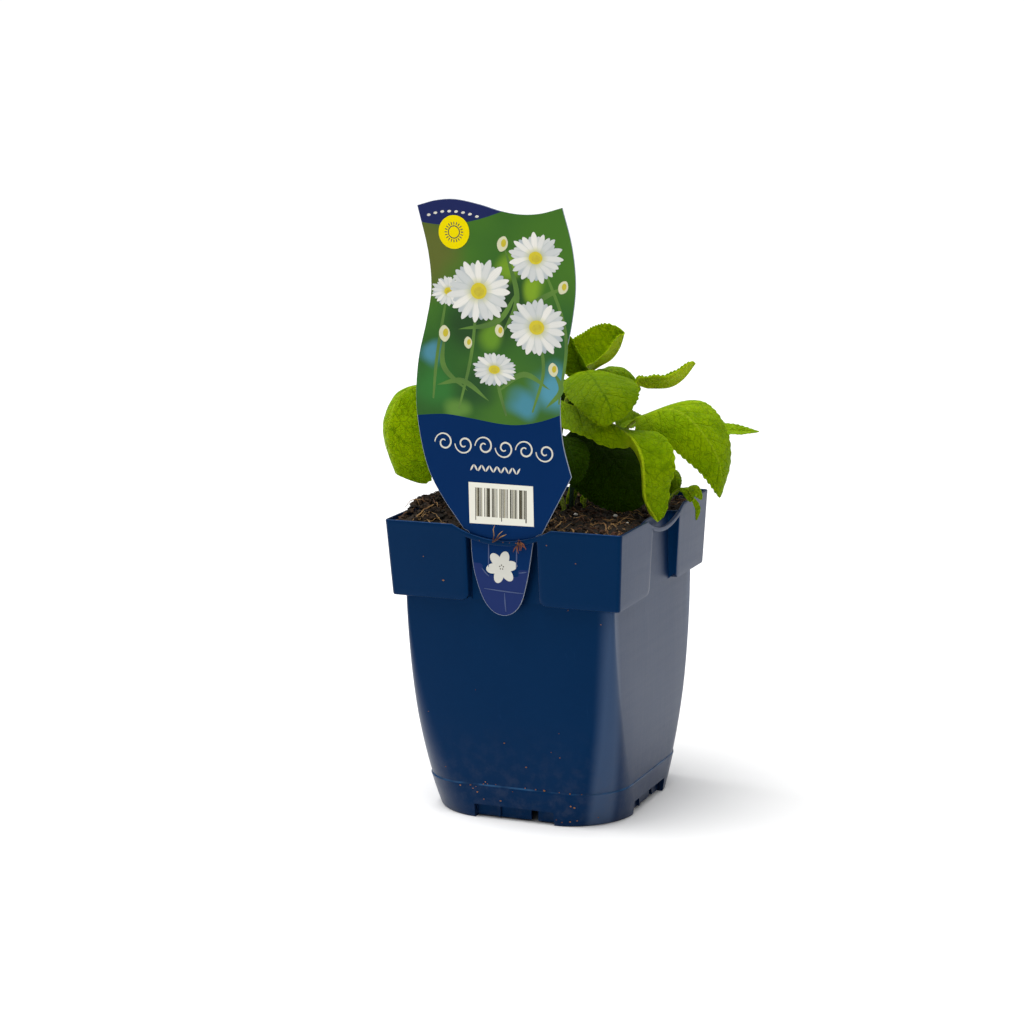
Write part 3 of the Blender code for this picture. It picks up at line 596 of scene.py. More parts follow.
soil = {
    "edge": 129.0, "crown": 3.0, "innerHalf": 46.5, "clear": 1.5, "reach": 51.5, "fibreReach": 50.0, "beadReach": 49.0,
    # each heap's place, height and spread
    "heaps": [(-38.0, -8.0, 8.0, 14.0), (-46.0, -33.0, 7.5, 12.0)],
    "crumbs": 2600, "crumbSizes": (0.3, 0.35, 0.45, 0.6, 0.8, 1.0, 1.5), "heapCrumbs": 380, "fibres": 420, "beads": 12,
    # across the pot's front and up, in millimetres: small crumbs that stick to it
    "frontCrumbs": [
        (-14, 16), (0, 14), (-3, 36), (-32, 22), (-20, 15), (-17, 12), (-13, 17), (-6, 9), (15, 16), (19, 34), (23, 32),
        (7, 26), (-16, 59), (-39, 47), (23, 43), (29, 3), (37, 4), (28, 98), (43, 93), (5, 98), (8, 101.5), (-37, 118),
        (-28, 108), (34, 120), (-12, 16.2), (-8, 16.3), (6, 16.2), (11, 16), (15, 15.9), (22, 15.9), (27, 15.8),
        (32, 15.7), (-19, 13.5), (-17.5, 14.5), (-25, 14.3), (27, 10), (28.5, 9.4), (20, 3), (22.5, 2), (26, 2.5),
        (-14, 9)],
    # across and size of those on the front bar
    "rimCrumbs": [(-13, 0.5), (-10, 0.35), (1, 0.45), (4, 0.3), (8, 0.7), (9.5, 0.6), (7, 0.5), (21, 0.4)],
    "barCrumbLevel": 127.0,
    "tuft": (8.5, 127.0), "tuftThreads": 9, "rootFoot": (-4.0, 126.5),
    "rootEnds": ((5.2, -0.5, 5.6), (1.5, -0.45, 7.8), (6.8, -0.4, 4.2)),
    "longFibres": [
        (-50, -46, 14), (-44, -50, 12), (-47, -40, 15), (-38, -48, 13), (-30, -50, 10), (-42, -30, 16), (20, -44, 12),
        (28, -40, 14), (34, -47, 12), (40, -36, 15), (16, -48, 9), (45, -45, 12), (30, -50, 8), (24, -36, 11),
        (48, -38, 12)]}


def soilInward(x, y):
    # how far in from the pot's wall, as a share of the way to its middle
    wall = pot["rimHalf"] - pot["wall"]
    return min(wall - abs(x), wall - abs(y)) / wall


def soilHeight(x, y):
    inward = soilInward(x, y)
    heap = sum(rise * exp(-((x - mx) ** 2 + (y - my) ** 2) / (2 * spread ** 2))
               for mx, my, rise, spread in soil["heaps"])
    heap *= min(1.0, max(inward, 0.0) * (pot["rimHalf"] - pot["wall"]) / 5 + 0.2)
    lumps = 0.7 * sin(x * 0.31 + 1.0) * cos(y * 0.27) + 0.5 * sin(x * 0.13 - y * 0.36 + 2.0)
    return soil["edge"] + soil["crown"] * sin(clamp(inward) * pi / 2) + heap + lumps * min(1.0, inward * 5)


def soilTop(x, y):
    # the plain surface with small lumps and pits
    small = 0.5 * sin(x * 1.1 + 2 * sin(y * 0.7)) * cos(y * 1.3 + 1.5 * sin(x * 0.5))
    finer = 0.3 * sin(x * 2.7 + y * 1.1) * cos(y * 2.9 - x * 0.8)
    return soilHeight(x, y) + (small + finer) * clamp(soilInward(x, y) * 6)


def makeSoil(material):
    clear, bandStart = soil["clear"], 101.2
    levels = (pot["floorTop"] + 0.3, 22, 50, 80, bandStart)
    rings = [potRing(*shrunk(*bodySize(min(z, potFoot)), clear), 0, z, clear) for z in levels]
    inset = pot["bandFootHalf"] - pot["recessFloorHalf"]
    rings.append(potRing(*shrunk(pot["bandFootHalf"], pot["topCorner"], clear), inset, bandStart, clear))
    size = shrunk(pot["rimHalf"], pot["topCorner"], clear + 0.3)
    outer = potRing(*size, pot["rimHalf"] - pot["recessFloorHalf"], 0, clear)
    inner = potRing(soil["innerHalf"], 1.0, 0, 0, clear)
    for ring, shrink in [(outer, 1.0), (inner, 1.0)] + [(inner, 1 - 0.94 * k / 34) for k in range(1, 35)]:
        rings.append([(x * shrink, y * shrink, soilTop(x * shrink, y * shrink)) for x, y, z in ring])
    piece = growRings("compost", rings)
    smooth(piece, 60)
    finishPiece(piece, material, "soil", "soil")


def compost():
    material, shader = newMaterial("compost", 0.9, 0.25)
    place = objectPlace(shader)
    clumps = noise(place, 160.0, 6.0, 0.7)
    grains = cells(place, 700.0).outputs["Distance"]
    base = blend(ramp(clumps, 0.35, 0.7), (0.005, 0.0033, 0.002), (0.031, 0.019, 0.0105))
    base = blend(ramp(grains, 0.2, 0.7, 0.0, 0.5), base, (0.004, 0.003, 0.002))
    setInput(shader, "Base Color", base)
    setBump(shader, plus(clumps, times(grains, -0.5)), 0.0012, 1.0)
    return material


def soilPlace(chance, reach):
    x, y = chance.uniform(-reach, reach), chance.uniform(-reach, reach)
    if max(abs(x), abs(y)) > soil["innerHalf"] and min(abs(x), abs(y)) < pot["recessHalf"] + 2:
        x, y = x * 0.8, y * 0.8
    return x, y


def lumpModel(name, divisions, roughness, chance):
    # a small uneven lump of unit size, pulled about from a ball
    bpy.ops.object.select_all(action="DESELECT")
    bpy.ops.mesh.primitive_ico_sphere_add(subdivisions=divisions, radius=1.0)
    lump = startPiece(name)
    for corner in lump.data.vertices:
        corner.co *= 1 + chance.uniform(-roughness, roughness)
    lump.data.transform(Matrix.Diagonal((1.0, chance.uniform(0.6, 0.9), chance.uniform(0.45, 0.75), 1.0)))
    return lump


def scatter(models, spots, name, chance):
    # each spot is a place in millimetres and a size; every copy is turned its own way
    copies = []
    for place, size in spots:
        model = chance.choice(models)
        lump = copied(model)
        turn = Matrix.Rotation(chance.uniform(0, 6.28), 4, "Z") @ Matrix.Rotation(chance.uniform(-0.6, 0.6), 4, "X")
        lump.data.transform(Matrix.Translation(Vector(inRow([place])[0])) @ turn @ Matrix.Scale(size * mm, 4))
        copies.append(lump)
    for model in models:
        bpy.data.objects.remove(model, do_unlink=True)
    return joinPieces(copies, name)


def fibreModel():
    # a straight thread of five sides, bent later along each fibre's own line
    rows = np.array([[(cos(2 * pi * k / 5), sin(2 * pi * k / 5), r) for k in range(5)] for r in range(9)], float)
    thread = skinGrid("fibre", rows)
    return thread, fromFrame(v.co for v in thread.data.vertices)


def bentFibre(model, spots, line, thick):
    line = np.array(line)
    ahead = np.gradient(line, axis=0)
    ahead /= np.linalg.norm(ahead, axis=1)[:, None]
    side = np.cross(ahead, (0.3, 0.2, 1.0))
    side /= np.linalg.norm(side, axis=1)[:, None]
    top = np.cross(side, ahead)
    row = np.clip(np.rint(spots[:, 2]).astype(int), 0, len(line) - 1)
    taper = thick * (1 - 0.6 * np.abs(row / (len(line) - 1) * 2 - 1) ** 2)
    places = line[row] + side[row] * (spots[:, :1] * taper[:, None]) + top[row] * (spots[:, 1:2] * taper[:, None])
    fibre = copied(model)
    fibre.data.vertices.foreach_set("co", inRow(places).ravel())
    return fibre


def fibreLine(chance, x, y, length, lift, wander):
    heading = chance.uniform(0, 6.28)
    rise = chance.uniform(0.05, 0.3) if chance.random() < lift else 0.0
    line = []
    for k in range(9):
        base = soilTop(x, y) + 0.25
        line.append((x, y, base + rise * length * sin(pi * 0.55 * k / 8) ** 2 + 0.3 * sin(k * 1.3 + heading)))
        heading += chance.uniform(-wander, wander)
        x = clamp(x + cos(heading) * length / 8, -52.0, 52.0)
        y = clamp(y + sin(heading) * length / 8, -52.0, 52.0)
    return line


def frontSpot(x, z):
    # where a line from the front first meets the pot
    start = Vector(inRow([(x, -90, z)])[0])
    place = bpy.data.objects["nurseryPot"].ray_cast(start, Vector((0, 1, 0)))[1]
    return fromFrame([place])[0]


def swungLine(start, end, swing):
    # from start to end, swung out between them; swing is a rule of the share of the way
    return [start * (1 - t) + end * t + np.array(swing(t)) * sin(pi * t) for t in np.linspace(0, 1, 9)]


def tuftLines(chance):
    # short threads that hang on the bar
    lines = []
    middle = frontSpot(*soil["tuft"])
    for _ in range(soil["tuftThreads"]):
        end = middle + np.array((chance.uniform(-4, 3.5), chance.uniform(-0.6, -0.1), chance.uniform(-4.5, 2.5)))
        swing = (chance.uniform(-1, 1), -0.4, chance.uniform(-0.5, 1.5))
        lines.append(swungLine(middle, end, lambda t: swing))
    return lines


def rootLines():
    # a few tan roots that rise from one place on the bar
    foot = frontSpot(*soil["rootFoot"])

    def wave(t):
        return 0.6 * sin(5 * t), -0.35, 0.5 * sin(4 * t)

    return [swungLine(foot, foot + np.array(end), wave) for end in soil["rootEnds"]]


def onSoil(x, y, size, lift):
    return (x, y, soilTop(x, y) + size * lift), size


def makeCrumbs(chance):
    models = [lumpModel("crumb", 1, 0.28, chance) for _ in range(6)]
    spots = []
    for _ in range(soil["crumbs"]):
        x, y = soilPlace(chance, soil["reach"])
        spots.append(onSoil(x, y, chance.choice(soil["crumbSizes"]), chance.uniform(0.0, 0.5)))
    for mx, my, rise, spread in soil["heaps"]:
        for _ in range(soil["heapCrumbs"]):
            x, y = (clamp(chance.gauss(m, spread * 0.6), -soil["reach"], soil["reach"]) for m in (mx, my))
            spots.append(onSoil(x, y, chance.uniform(0.4, 1.5), chance.uniform(0.0, 0.5)))
    finishPiece(scatter(models, spots, "compostCrumbs", chance), crumbBrown(), "soil")


def makeFibres(chance):
    thread, ends = fibreModel()

    def fibre(line, thinnest, thickest):
        return bentFibre(thread, ends, line, chance.uniform(thinnest, thickest))

    threads = []
    for _ in range(soil["fibres"]):
        x, y = soilPlace(chance, soil["fibreReach"])
        threads.append(fibre(fibreLine(chance, x, y, chance.uniform(4, 13), 0.35, 0.55), 0.1, 0.24))
    for x, y, length in soil["longFibres"]:
        threads.append(fibre(fibreLine(chance, x, y, length, 0.8, 0.45), 0.2, 0.34))
    tuft = tuftLines(chance)
    threads += [fibre(line, 0.2, 0.3) for line in rootLines()]
    russet = [fibre(line, 0.14, 0.26) for line in tuft]
    bpy.data.objects.remove(thread, do_unlink=True)
    for parts, name, colour, dark, pale in (
            (russet, "russetTuft", "fibreRusset", (0.05, 0.014, 0.006), (0.2, 0.06, 0.016)),
            (threads, "compostFibres", "fibreTan", (0.08, 0.028, 0.009), (0.36, 0.21, 0.078))):
        finishPiece(joinPieces(parts, name), fibreColour(colour, dark, pale), "soil")


def makeStrays(chance):
    spots = [(frontSpot(x, z), chance.uniform(0.3, 0.6)) for x, z in soil["frontCrumbs"]]
    spots += [(frontSpot(x, soil["barCrumbLevel"]), size) for x, size in soil["rimCrumbs"]]
    models = [lumpModel("smallCrumb", 1, 0.28, chance) for _ in range(4)]
    russet = fibreColour("crumbRusset", (0.08, 0.025, 0.01), (0.34, 0.14, 0.045))
    finishPiece(scatter(models, spots, "strayCrumbs", chance), russet, "soil")


def makeBeads(chance):
    models = [lumpModel("bead", 2, 0.12, chance) for _ in range(2)]
    spots = []
    for _ in range(soil["beads"]):
        x, y = soilPlace(chance, soil["beadReach"])
        spots.append(onSoil(x, y, chance.uniform(0.5, 1.1), 0.5))
    white = tonedMaterial("beadWhite", ((0.3, 0.28, 0.25), (0.62, 0.6, 0.56)), 900.0, roughness=0.7, specular=0.3,
                          grain=(1800.0, 3.0, 0.0002, 1.0))
    finishPiece(scatter(models, spots, "compostBeads", chance), white, "soil")


def crumbBrown():
    material, shader = newMaterial("crumbBrown", 0.85, 0.25)
    place = objectPlace(shader)
    base = blend(ramp(noise(place, 220.0, 4.0, 0.7), 0.4, 0.68), (0.0035, 0.0024, 0.0015), (0.05, 0.027, 0.0125))
    red = ramp(noise(place, 60.0, 1.0), 0.62, 0.72)
    setInput(shader, "Base Color", blend(times(red, 0.5), base, (0.09, 0.03, 0.012)))
    setBump(shader, noise(place, 1500.0, 4.0), 0.0003, 1.0)
    return material


def fibreColour(name, dark, pale):
    return tonedMaterial(name, (dark, pale), 130.0, 2.0, span=(0.38, 0.62), roughness=0.7, specular=0.3,
                         grain=(2500.0, 2.0, 0.0001, 0.6))


makeSoil(compost())
soilChance = random.Random(7)
makeCrumbs(soilChance)
makeFibres(soilChance)
makeStrays(soilChance)
makeBeads(soilChance)
print("compost made")

# Plant label

label = {
    "thick": 0.6, "lean": radians(2.0), "barLevel": 131.0, "y": -52.8,
    "left": [(-18.8, 1.3), (-28.0, 13.5), (-34.4, 25.0), (-38.4, 40.0), (-40.1, 56.0), (-38.8, 73.0),
             (-35.0, 89.0), (-32.6, 103.0), (-34.0, 119.0), (-38.9, 138.0)],
    "top": [(-38.9, 138.0), (-30.0, 140.3), (-21.0, 140.79), (-10.0, 138.8), (0.0, 136.1), (9.0, 134.9),
            (18.0, 135.5), (27.4, 138.0)],
    "right": [(27.4, 138.0), (31.8, 122.0), (33.5, 106.0), (31.8, 90.0), (28.4, 74.0), (26.6, 56.0),
              (27.8, 40.0), (31.7, 25.4)],
    "tab": [(14.3, -3.0), (12.9, -12.0), (11.5, -20.0), (8.5, -30.5), (3.5, -35.6), (-3.0, -35.6),
            (-8.5, -30.5), (-12.5, -20.5), (-14.2, -12.0), (-14.8, -3.0)],
    # the two steps from the label's foot to its tab
    "rightStep": [(31.7, 25.4), (18.8, 1.3), (18.2, 0.4), (17.5, 0.1), (16.8, -0.15), (16.2, -0.4), (15.6, -0.9)],
    "leftStep": [(-15.6, -0.9), (-16.2, -0.4), (-16.8, -0.15), (-17.5, 0.1), (-18.2, 0.4)],
    "pictureFoot": [(-44, 47.5), (-39.8, 48.4), (-26.5, 49.5), (-14.8, 48.3), (-0.9, 46.5), (8.3, 46.5), (17.5, 48.3),
                    (27, 51.7), (36, 56)],
    "swoosh": [(-44, 131.4), (-37.1, 130.9), (-28.3, 130), (-19, 130.8), (-9.8, 132.7), (0.8, 136.2), (6, 138.6)],
    "edge": 0.17, "pictureEdge": 0.07, "disc": (-21.8, 127.0, 7.1),
    "patch": [(-15.7, 20.8), (14.2, 20.6), (14.6, 3.3), (-15.3, 3.0)]}


def curve(points, steps):
    # smooth line through the points, its last point left out
    p = [np.array(q, float) for q in points]
    p = [2 * p[0] - p[1]] + p + [2 * p[-1] - p[-2]]
    line = []
    for k in range(1, len(p) - 2):
        a, b, c, d = p[k - 1:k + 3]
        for step in range(steps):
            t = step / steps
            line.append(b + ((c - a) * t + (2 * a - 5 * b + 4 * c - d) * t ** 2 + (3 * b - a - 3 * c + d) * t ** 3) / 2)
    return line


def wholeCurve(points, steps):
    return curve(points, steps) + [np.array(points[-1], float)]


def labelOutline():
    sides = curve(label["left"], 8) + curve(label["top"], 8) + curve(label["right"], 8)
    rightStep, leftStep = ([np.array(p) for p in label[step]] for step in ("rightStep", "leftStep"))
    return sides + rightStep + wholeCurve(label["tab"], 5) + leftStep


def drawnIn(outline, by):
    # the outline moved inwards, for print that stops short of the cut edge
    p = np.array(outline)
    ahead = np.roll(p, -1, axis=0) - np.roll(p, 1, axis=0)
    ahead /= np.linalg.norm(ahead, axis=1)[:, None]
    return p + np.stack([ahead[:, 1], -ahead[:, 0]], axis=1) * by


def onLabel(points, out):
    # points across and up the label, out of its middle plane
    up = np.array((0, sin(label["lean"]), cos(label["lean"])))
    forward = np.array((0, -cos(label["lean"]), sin(label["lean"])))
    start = np.array((0, label["y"], label["barLevel"]))
    return [start + np.array((x, 0, 0)) + up * height + forward * out for x, height in points]


def flatShape(outline, level, thick=0.02):
    # a filled circle takes the outline and gets its thickness by extrusion; level is counted from the label's face
    bpy.ops.object.select_all(action="DESELECT")
    bpy.ops.mesh.primitive_circle_add(vertices=len(outline), radius=0.1, fill_type="NGON")
    piece = startPiece("print")
    piece.data.vertices.foreach_set("co", inRow(onLabel(outline, label["thick"] / 2 + level - thick)).ravel())
    bpy.ops.object.mode_set(mode="EDIT")
    bpy.ops.mesh.select_all(action="SELECT")
    step = inRow(onLabel([(0, 0)], thick))[0] - inRow(onLabel([(0, 0)], 0))[0]
    bpy.ops.mesh.extrude_region_move(TRANSFORM_OT_translate={"value": tuple(step)})
    bpy.ops.mesh.select_all(action="SELECT")
    bpy.ops.mesh.normals_make_consistent(inside=False)
    bpy.ops.object.mode_set(mode="OBJECT")
    return piece


def outlinePart(outline, low, high):
    # the part of the outline between two waved boundaries, of which one may be None
    p = [np.array(q) for q in outline]
    for boundary, side in ((low, 1), (high, -1)):
        if boundary is None:
            continue
        line = np.array(wholeCurve(boundary, 6))
        above = [(q[1] - float(np.interp(q[0], line[:, 0], line[:, 1]))) * side for q in p]
        kept = []
        for k, q in enumerate(p):
            n = (k + 1) % len(p)
            if above[k] >= 0:
                kept.append(q)
            if (above[k] >= 0) != (above[n] >= 0):
                kept.append(q + (p[n] - q) * above[k] / (above[k] - above[n]))
                if above[k] >= 0:
                    kept.append(None)
        p = joinWalk(kept, line)
    return p


def joinWalk(kept, line):
    # None marks where the outline leaves the kept side; it follows the line from there to where it comes back
    points = []
    for k, q in enumerate(kept):
        if q is not None:
            points.append(q)
            continue
        leave, back = kept[k - 1][0], kept[(k + 1) % len(kept)][0]
        between = [s for s in line if min(leave, back) + 0.05 < s[0] < max(leave, back) - 0.05]
        points += between if leave < back else between[::-1]
    return points


ornament = {
    # a running scroll of spirals, and a row of small lozenges below it
    "scroll": {"from": -27.0, "to": 20.0, "height": 37.4, "slope": -0.045, "radius": 4.4, "count": 6, "wide": 0.75},
    "dotRow": {"from": -14.0, "to": 7.5, "height": 27.2, "slope": -0.03, "count": 13},
    "swooshDots": [(-33.5, 134.0), (-30.4, 134.9), (-27.2, 135.5), (-24.0, 135.7), (-20.8, 135.6), (-17.6, 135.2),
                   (-14.4, 134.6), (-11.2, 133.7)],
    "sunRing": (2.35, 2.8), "sunRays": (3.15, 4.35, 20),
    # upright strips on the pale patch, whose widths and gaps code nothing
    "strips": {"count": 34, "missing": (5, 10, 15, 22, 28), "from": -12.4, "across": 23.4, "top": 18.6, "foot": 6.2,
               "longFoot": 4.6, "halfWidths": (0.17, 0.28, 0.2, 0.37, 0.17, 0.24, 0.31)},
    # the picture: place, size, tilt and squash of each round daisy, then place and size of each bud
    "daisies": [(-24.5, 102.0, 8.5, 20, 0.8), (-3.5, 69.5, 11.0, 30, 0.7), (15.5, 117.0, 13.0, 10, 0.86),
                (-10.5, 102.5, 15.5, -15, 0.94), (16.0, 88.0, 14.5, -25, 0.88)],
    "buds": [(0.5, 122.5, 3.4), (28.0, 105.0, 3.0), (-1.0, 86.0, 2.8), (-26.5, 84.0, 3.6), (-15.5, 80.5, 2.6),
             (23.5, 70.5, 3.0)],
    "petals": 15,
    # stems and slim leaves, each a smooth line through three points
    "stems": [((-20, 52), (-14, 76), (-11, 104)), ((2, 50), (-1, 60), (-3, 70)), ((14, 52), (19, 70), (16, 90)),
              ((26, 56), (29, 86), (17, 118)), ((-32, 56), (-30, 75), (-25, 102))],
    "blades": [((-2, 60), (10, 68), (22, 62)), ((-6, 56), (-18, 64), (-30, 62)), ((0, 84), (7, 100), (1, 122)),
               ((5, 92), (18, 100), (28, 105)), ((-16, 60), (-27, 70), (-26.5, 84)), ((8, 104), (-2, 90), (-20, 86)),
               ((20, 54), (27, 62), (23.5, 70))],
    # across and up the label, size and colour of each blurred patch of the garden
    "patches": [
        (-34, 118, 22, (0.1, 0.1, 0.015)), (26, 128, 30, (0.044, 0.135, 0.008)), (30, 80, 26, (0.012, 0.075, 0.014)),
        (25, 62, 14, (0.07, 0.27, 0.4)), (10, 55, 9, (0.05, 0.22, 0.33)), (-30, 62, 14, (0.02, 0.14, 0.02)),
        (2, 96, 22, (0.005, 0.022, 0.004)), (-16, 88, 16, (0.008, 0.035, 0.006)), (-10, 62, 13, (0.006, 0.04, 0.008)),
        (-33, 76, 8, (0.06, 0.22, 0.32)), (-20, 53, 8, (0.1, 0.22, 0.03)), (4, 112, 9, (0.16, 0.3, 0.01)),
        (18, 103, 7, (0.2, 0.34, 0.01)), (-4, 84, 8, (0.12, 0.26, 0.01))]}

# how far out from the label's face each layer of print ends, and how much further each next daisy does
levels = {"ground": 0.03, "stems": 0.036, "daisies": 0.045, "nextDaisy": 0.022, "buds": 0.16, "disc": 0.175,
          "sun": 0.183, "marks": 0.05, "strips": 0.07,
          "tabLower": 0.045, "blossom": 0.06, "blossomDots": 0.09, "ridges": 0.16}

# dark blue ink, whose gloss stays blue when it is seen head-on
navy = {"scale": 30.0, "gloss": (0.03, 0.2, 0.7), "grain": (1400.0, 2.0, 0.00002, 0.4)}

inks = {
    # for each piece its material's name, two colours and what differs from plain print
    "plantLabel": ("labelCore", (0.2, 0.24, 0.32), (0.27, 0.31, 0.39), {"scale": 40.0, "roughness": 0.45}),
    "labelBack": ("labelBackWhite", (0.55, 0.56, 0.55), (0.6, 0.61, 0.6), {"roughness": 0.5}),
    "labelBluePrint": ("labelBlue", (0.0008, 0.013, 0.062), (0.0015, 0.017, 0.075), navy),
    "labelSwoosh": ("swooshBlue", (0.014, 0.016, 0.07), (0.017, 0.019, 0.078), navy),
    "labelStems": ("stemGreen", (0.008, 0.045, 0.006), (0.12, 0.27, 0.015), {"scale": 70.0}),
    "labelHearts": ("heartYellow", (0.5, 0.4, 0.005), (0.62, 0.52, 0.01), {"scale": 500.0}),
    "labelHeartRings": ("heartOrange", (0.42, 0.3, 0.003), (0.55, 0.5, 0.02), {"scale": 700.0}),
    "labelDisc": ("labelYellow", (0.74, 0.6, 0.0), (0.76, 0.62, 0.0), {"gloss": (1.0, 0.8, 0.05)}),
    "labelSun": ("labelInk", (0.035, 0.035, 0.03), (0.05, 0.05, 0.045), {}),
    "labelPatch": ("labelPatch", (0.75, 0.74, 0.64), (0.78, 0.77, 0.67), {}),
    "labelCreamPrint": ("labelCream", (0.58, 0.56, 0.48), (0.62, 0.6, 0.52), {}),
    "labelStrips": ("stripGrey", (0.008, 0.007, 0.004), (0.09, 0.08, 0.05),
                    {"scale": 120.0, "gloss": (0.3, 0.28, 0.2)}),
    "labelPaleStrips": ("stripOlive", (0.16, 0.145, 0.09), (0.36, 0.33, 0.23), {"scale": 260.0}),
    "tabLower": ("tabLilac", (0.014, 0.021, 0.088), (0.017, 0.025, 0.1), navy),
    "tabRidges": ("tabRidge", (0.02, 0.045, 0.14), (0.04, 0.07, 0.19), {}),
    "tabBlossom": ("tabCream", (0.56, 0.56, 0.5), (0.62, 0.61, 0.55), {}),
    "tabBlossomDots": ("tabInk", (0.05, 0.045, 0.035), (0.09, 0.08, 0.06), {})}


def printPiece(name, shapes, *nodes):
    ink, first, second, changes = inks[name]
    finishPiece(joinPieces(shapes, name), tonedMaterial(ink, (first, second), **changes), "label_plastic", *nodes)


def ribbon(line, wide, taper=0.0):
    # outline of a stroke along a line
    p = np.array(line, float)
    ahead = np.gradient(p, axis=0)
    ahead /= np.linalg.norm(ahead, axis=1)[:, None]
    share = np.linspace(-1, 1, len(p))
    half = (wide / 2 * (1 - taper * np.abs(share) ** 2))[:, None]
    side = np.stack([-ahead[:, 1], ahead[:, 0]], axis=1) * half
    return list(p + side) + list((p - side)[::-1])


def turnedBy(points, angle):
    return [(a * cos(angle) - b * sin(angle), a * sin(angle) + b * cos(angle)) for a, b in points]


def oval(x, y, long, wide, angle=0.0, pointed=0.0, count=18):
    turns = [2 * pi * k / count for k in range(count)]
    points = [(long * cos(turn), wide * sin(turn) * (1 - pointed * abs(cos(turn)) ** 3)) for turn in turns]
    return [(x + a, y + b) for a, b in turnedBy(points, angle)]


def gardenBlur():
    # an out-of-focus garden: soft round patches of greens and blues
    material, shader = newMaterial("gardenBlur", 0.34, gloss=(0.55, 0.8, 0.5))
    place = objectPlace(shader)
    base = blend(ramp(noise(place, 22.0, 1.5, 0.4), 0.35, 0.65), (0.014, 0.078, 0.008), (0.046, 0.14, 0.008))
    warp = vectorSums("SUBTRACT", noise(place, 30.0, 2.0, 0.5, "Color"), (0.5, 0.5, 0.5))
    moved = vectorSums("ADD", place, vectorSums("MULTIPLY", warp, (0.02, 0.0, 0.02)))
    for x, height, size, colour in ornament["patches"]:
        middle = inRow(onLabel([(x, height)], 0.3))[0]
        away = vectorSums("DISTANCE", moved, tuple(middle), "Value")
        base = blend(ramp(away, size * mm, size * 0.25 * mm, 0.0, 0.85), base, colour)
    setInput(shader, "Base Color", base)
    return material


def petalPrint():
    material, shader = newMaterial("petalPrint", 0.34)
    along, across, tone = storedPlace(shader, "petalPlace")
    base = blend(ramp(along, 0.12, 0.5), (0.46, 0.46, 0.1), (0.74, 0.72, 0.66))
    base = blend(times(tone, 0.85), base, (0.3, 0.36, 0.4))
    edge = ramp(sums("ABSOLUTE", across), 0.5, 1.0)
    base = blend(times(edge, 0.45), base, (0.3, 0.36, 0.36))
    streak = ramp(sums("PINGPONG", times(across, 2.2), 0.5), 0.1, 0.0)
    setInput(shader, "Base Color", blend(times(streak, 0.25), base, (0.42, 0.46, 0.4)))
    return material


def daisyPetal(chance, daisy, layer, k, level):
    # each vertex keeps its place along and across the petal, and the petal's tone
    x, y, size, tilt, squash = daisy
    angle = 2 * pi * (k + 0.5 * layer + chance.uniform(-0.12, 0.12)) / ornament["petals"] + radians(tilt)
    length = size * chance.uniform(0.9, 1.02) * (0.98 if layer else 0.9)
    wide = size * chance.uniform(0.115, 0.14)
    points = turnedBy(oval(length * 0.58, 0, length * 0.42, wide, 0, 0.25), angle)
    petal = flatShape([(x + a, y + b * squash) for a, b in points], level + 0.007 * layer + 0.0003 * k, 0.015)
    tone = chance.uniform(0.0, 0.6) if layer else chance.uniform(0.4, 1.0)
    corners = fromFrame(v.co for v in petal.data.vertices)
    spots = [(px - x, (pz - label["barLevel"] - y) / squash) for px, py, pz in corners]
    setPlaces(petal, "petalPlace", [(a / length, b / wide, tone) for a, b in turnedBy(spots, -angle)])
    return petal


def makeDaisies():
    chance = random.Random(11)
    petals, hearts, rings = [], [], []
    for number, daisy in enumerate(ornament["daisies"]):
        x, y, size, tilt, squash = daisy
        level = levels["daisies"] + levels["nextDaisy"] * number
        petals += [daisyPetal(chance, daisy, layer, k, level) for layer in (0, 1) for k in range(ornament["petals"])]
        hearts.append(flatShape(oval(x, y, size * 0.24, size * 0.24 * squash), level + 0.014, 0.01))
        rings.append(flatShape(oval(x + 0.2, y - 0.3, size * 0.155, size * 0.14 * squash), level + 0.017, 0.01))
    for x, y, size in ornament["buds"]:
        bud = flatShape(oval(x, y, size, size * 0.72, chance.uniform(0.6, 2.4), 0.3), levels["buds"])
        setPlaces(bud, "petalPlace", [(0.3, 0.3, 0.1)] * len(bud.data.vertices))
        petals.append(bud)
        tip = oval(x + size * 0.15, y + size * 0.1, size * 0.5, size * 0.34, 1.4)
        rings.append(flatShape(tip, levels["buds"] + 0.007))
    finishPiece(joinPieces(petals, "labelPetals"), petalPrint(), "label_plastic")
    printPiece("labelHearts", hearts)
    printPiece("labelHeartRings", rings)


def makeStems():
    shapes = []
    for lines, wide, taper in ((ornament["stems"], 1.5, 0.5), (ornament["blades"], 2.4, 0.97)):
        for line in lines:
            level = levels["stems"] + 0.0006 * len(shapes)
            shapes.append(flatShape(ribbon(wholeCurve(line, 8), wide, taper), level, 0.015))
    printPiece("labelStems", shapes)


def makeSun():
    # a yellow disc with a ring and rays on it
    x, y, radius = label["disc"]
    printPiece("labelDisc", [flatShape(oval(x, y, radius, radius, count=64), levels["disc"], 0.03)])
    inner, outer = ornament["sunRing"]
    middle = (inner + outer) / 2
    ring = [(x + middle * cos(a), y + middle * sin(a)) for a in [2 * pi * k / 40 for k in range(41)]]
    sun = [flatShape(ribbon(ring, outer - inner), levels["sun"])]
    near, far, count = ornament["sunRays"]
    for a in [2 * pi * k / count for k in range(count)]:
        ray = [(x + r * cos(a), y + r * sin(a)) for r in (near, (near + far) / 2, far)]
        sun.append(flatShape(ribbon(ray, 0.42), levels["sun"]))
    printPiece("labelSun", sun)


def alongRow(row, k):
    # the place of mark k in an even, slightly sloping row
    x = row["from"] + (row["to"] - row["from"]) * k / (row["count"] - 1)
    return x, row["height"] + row["slope"] * (x - row["from"])


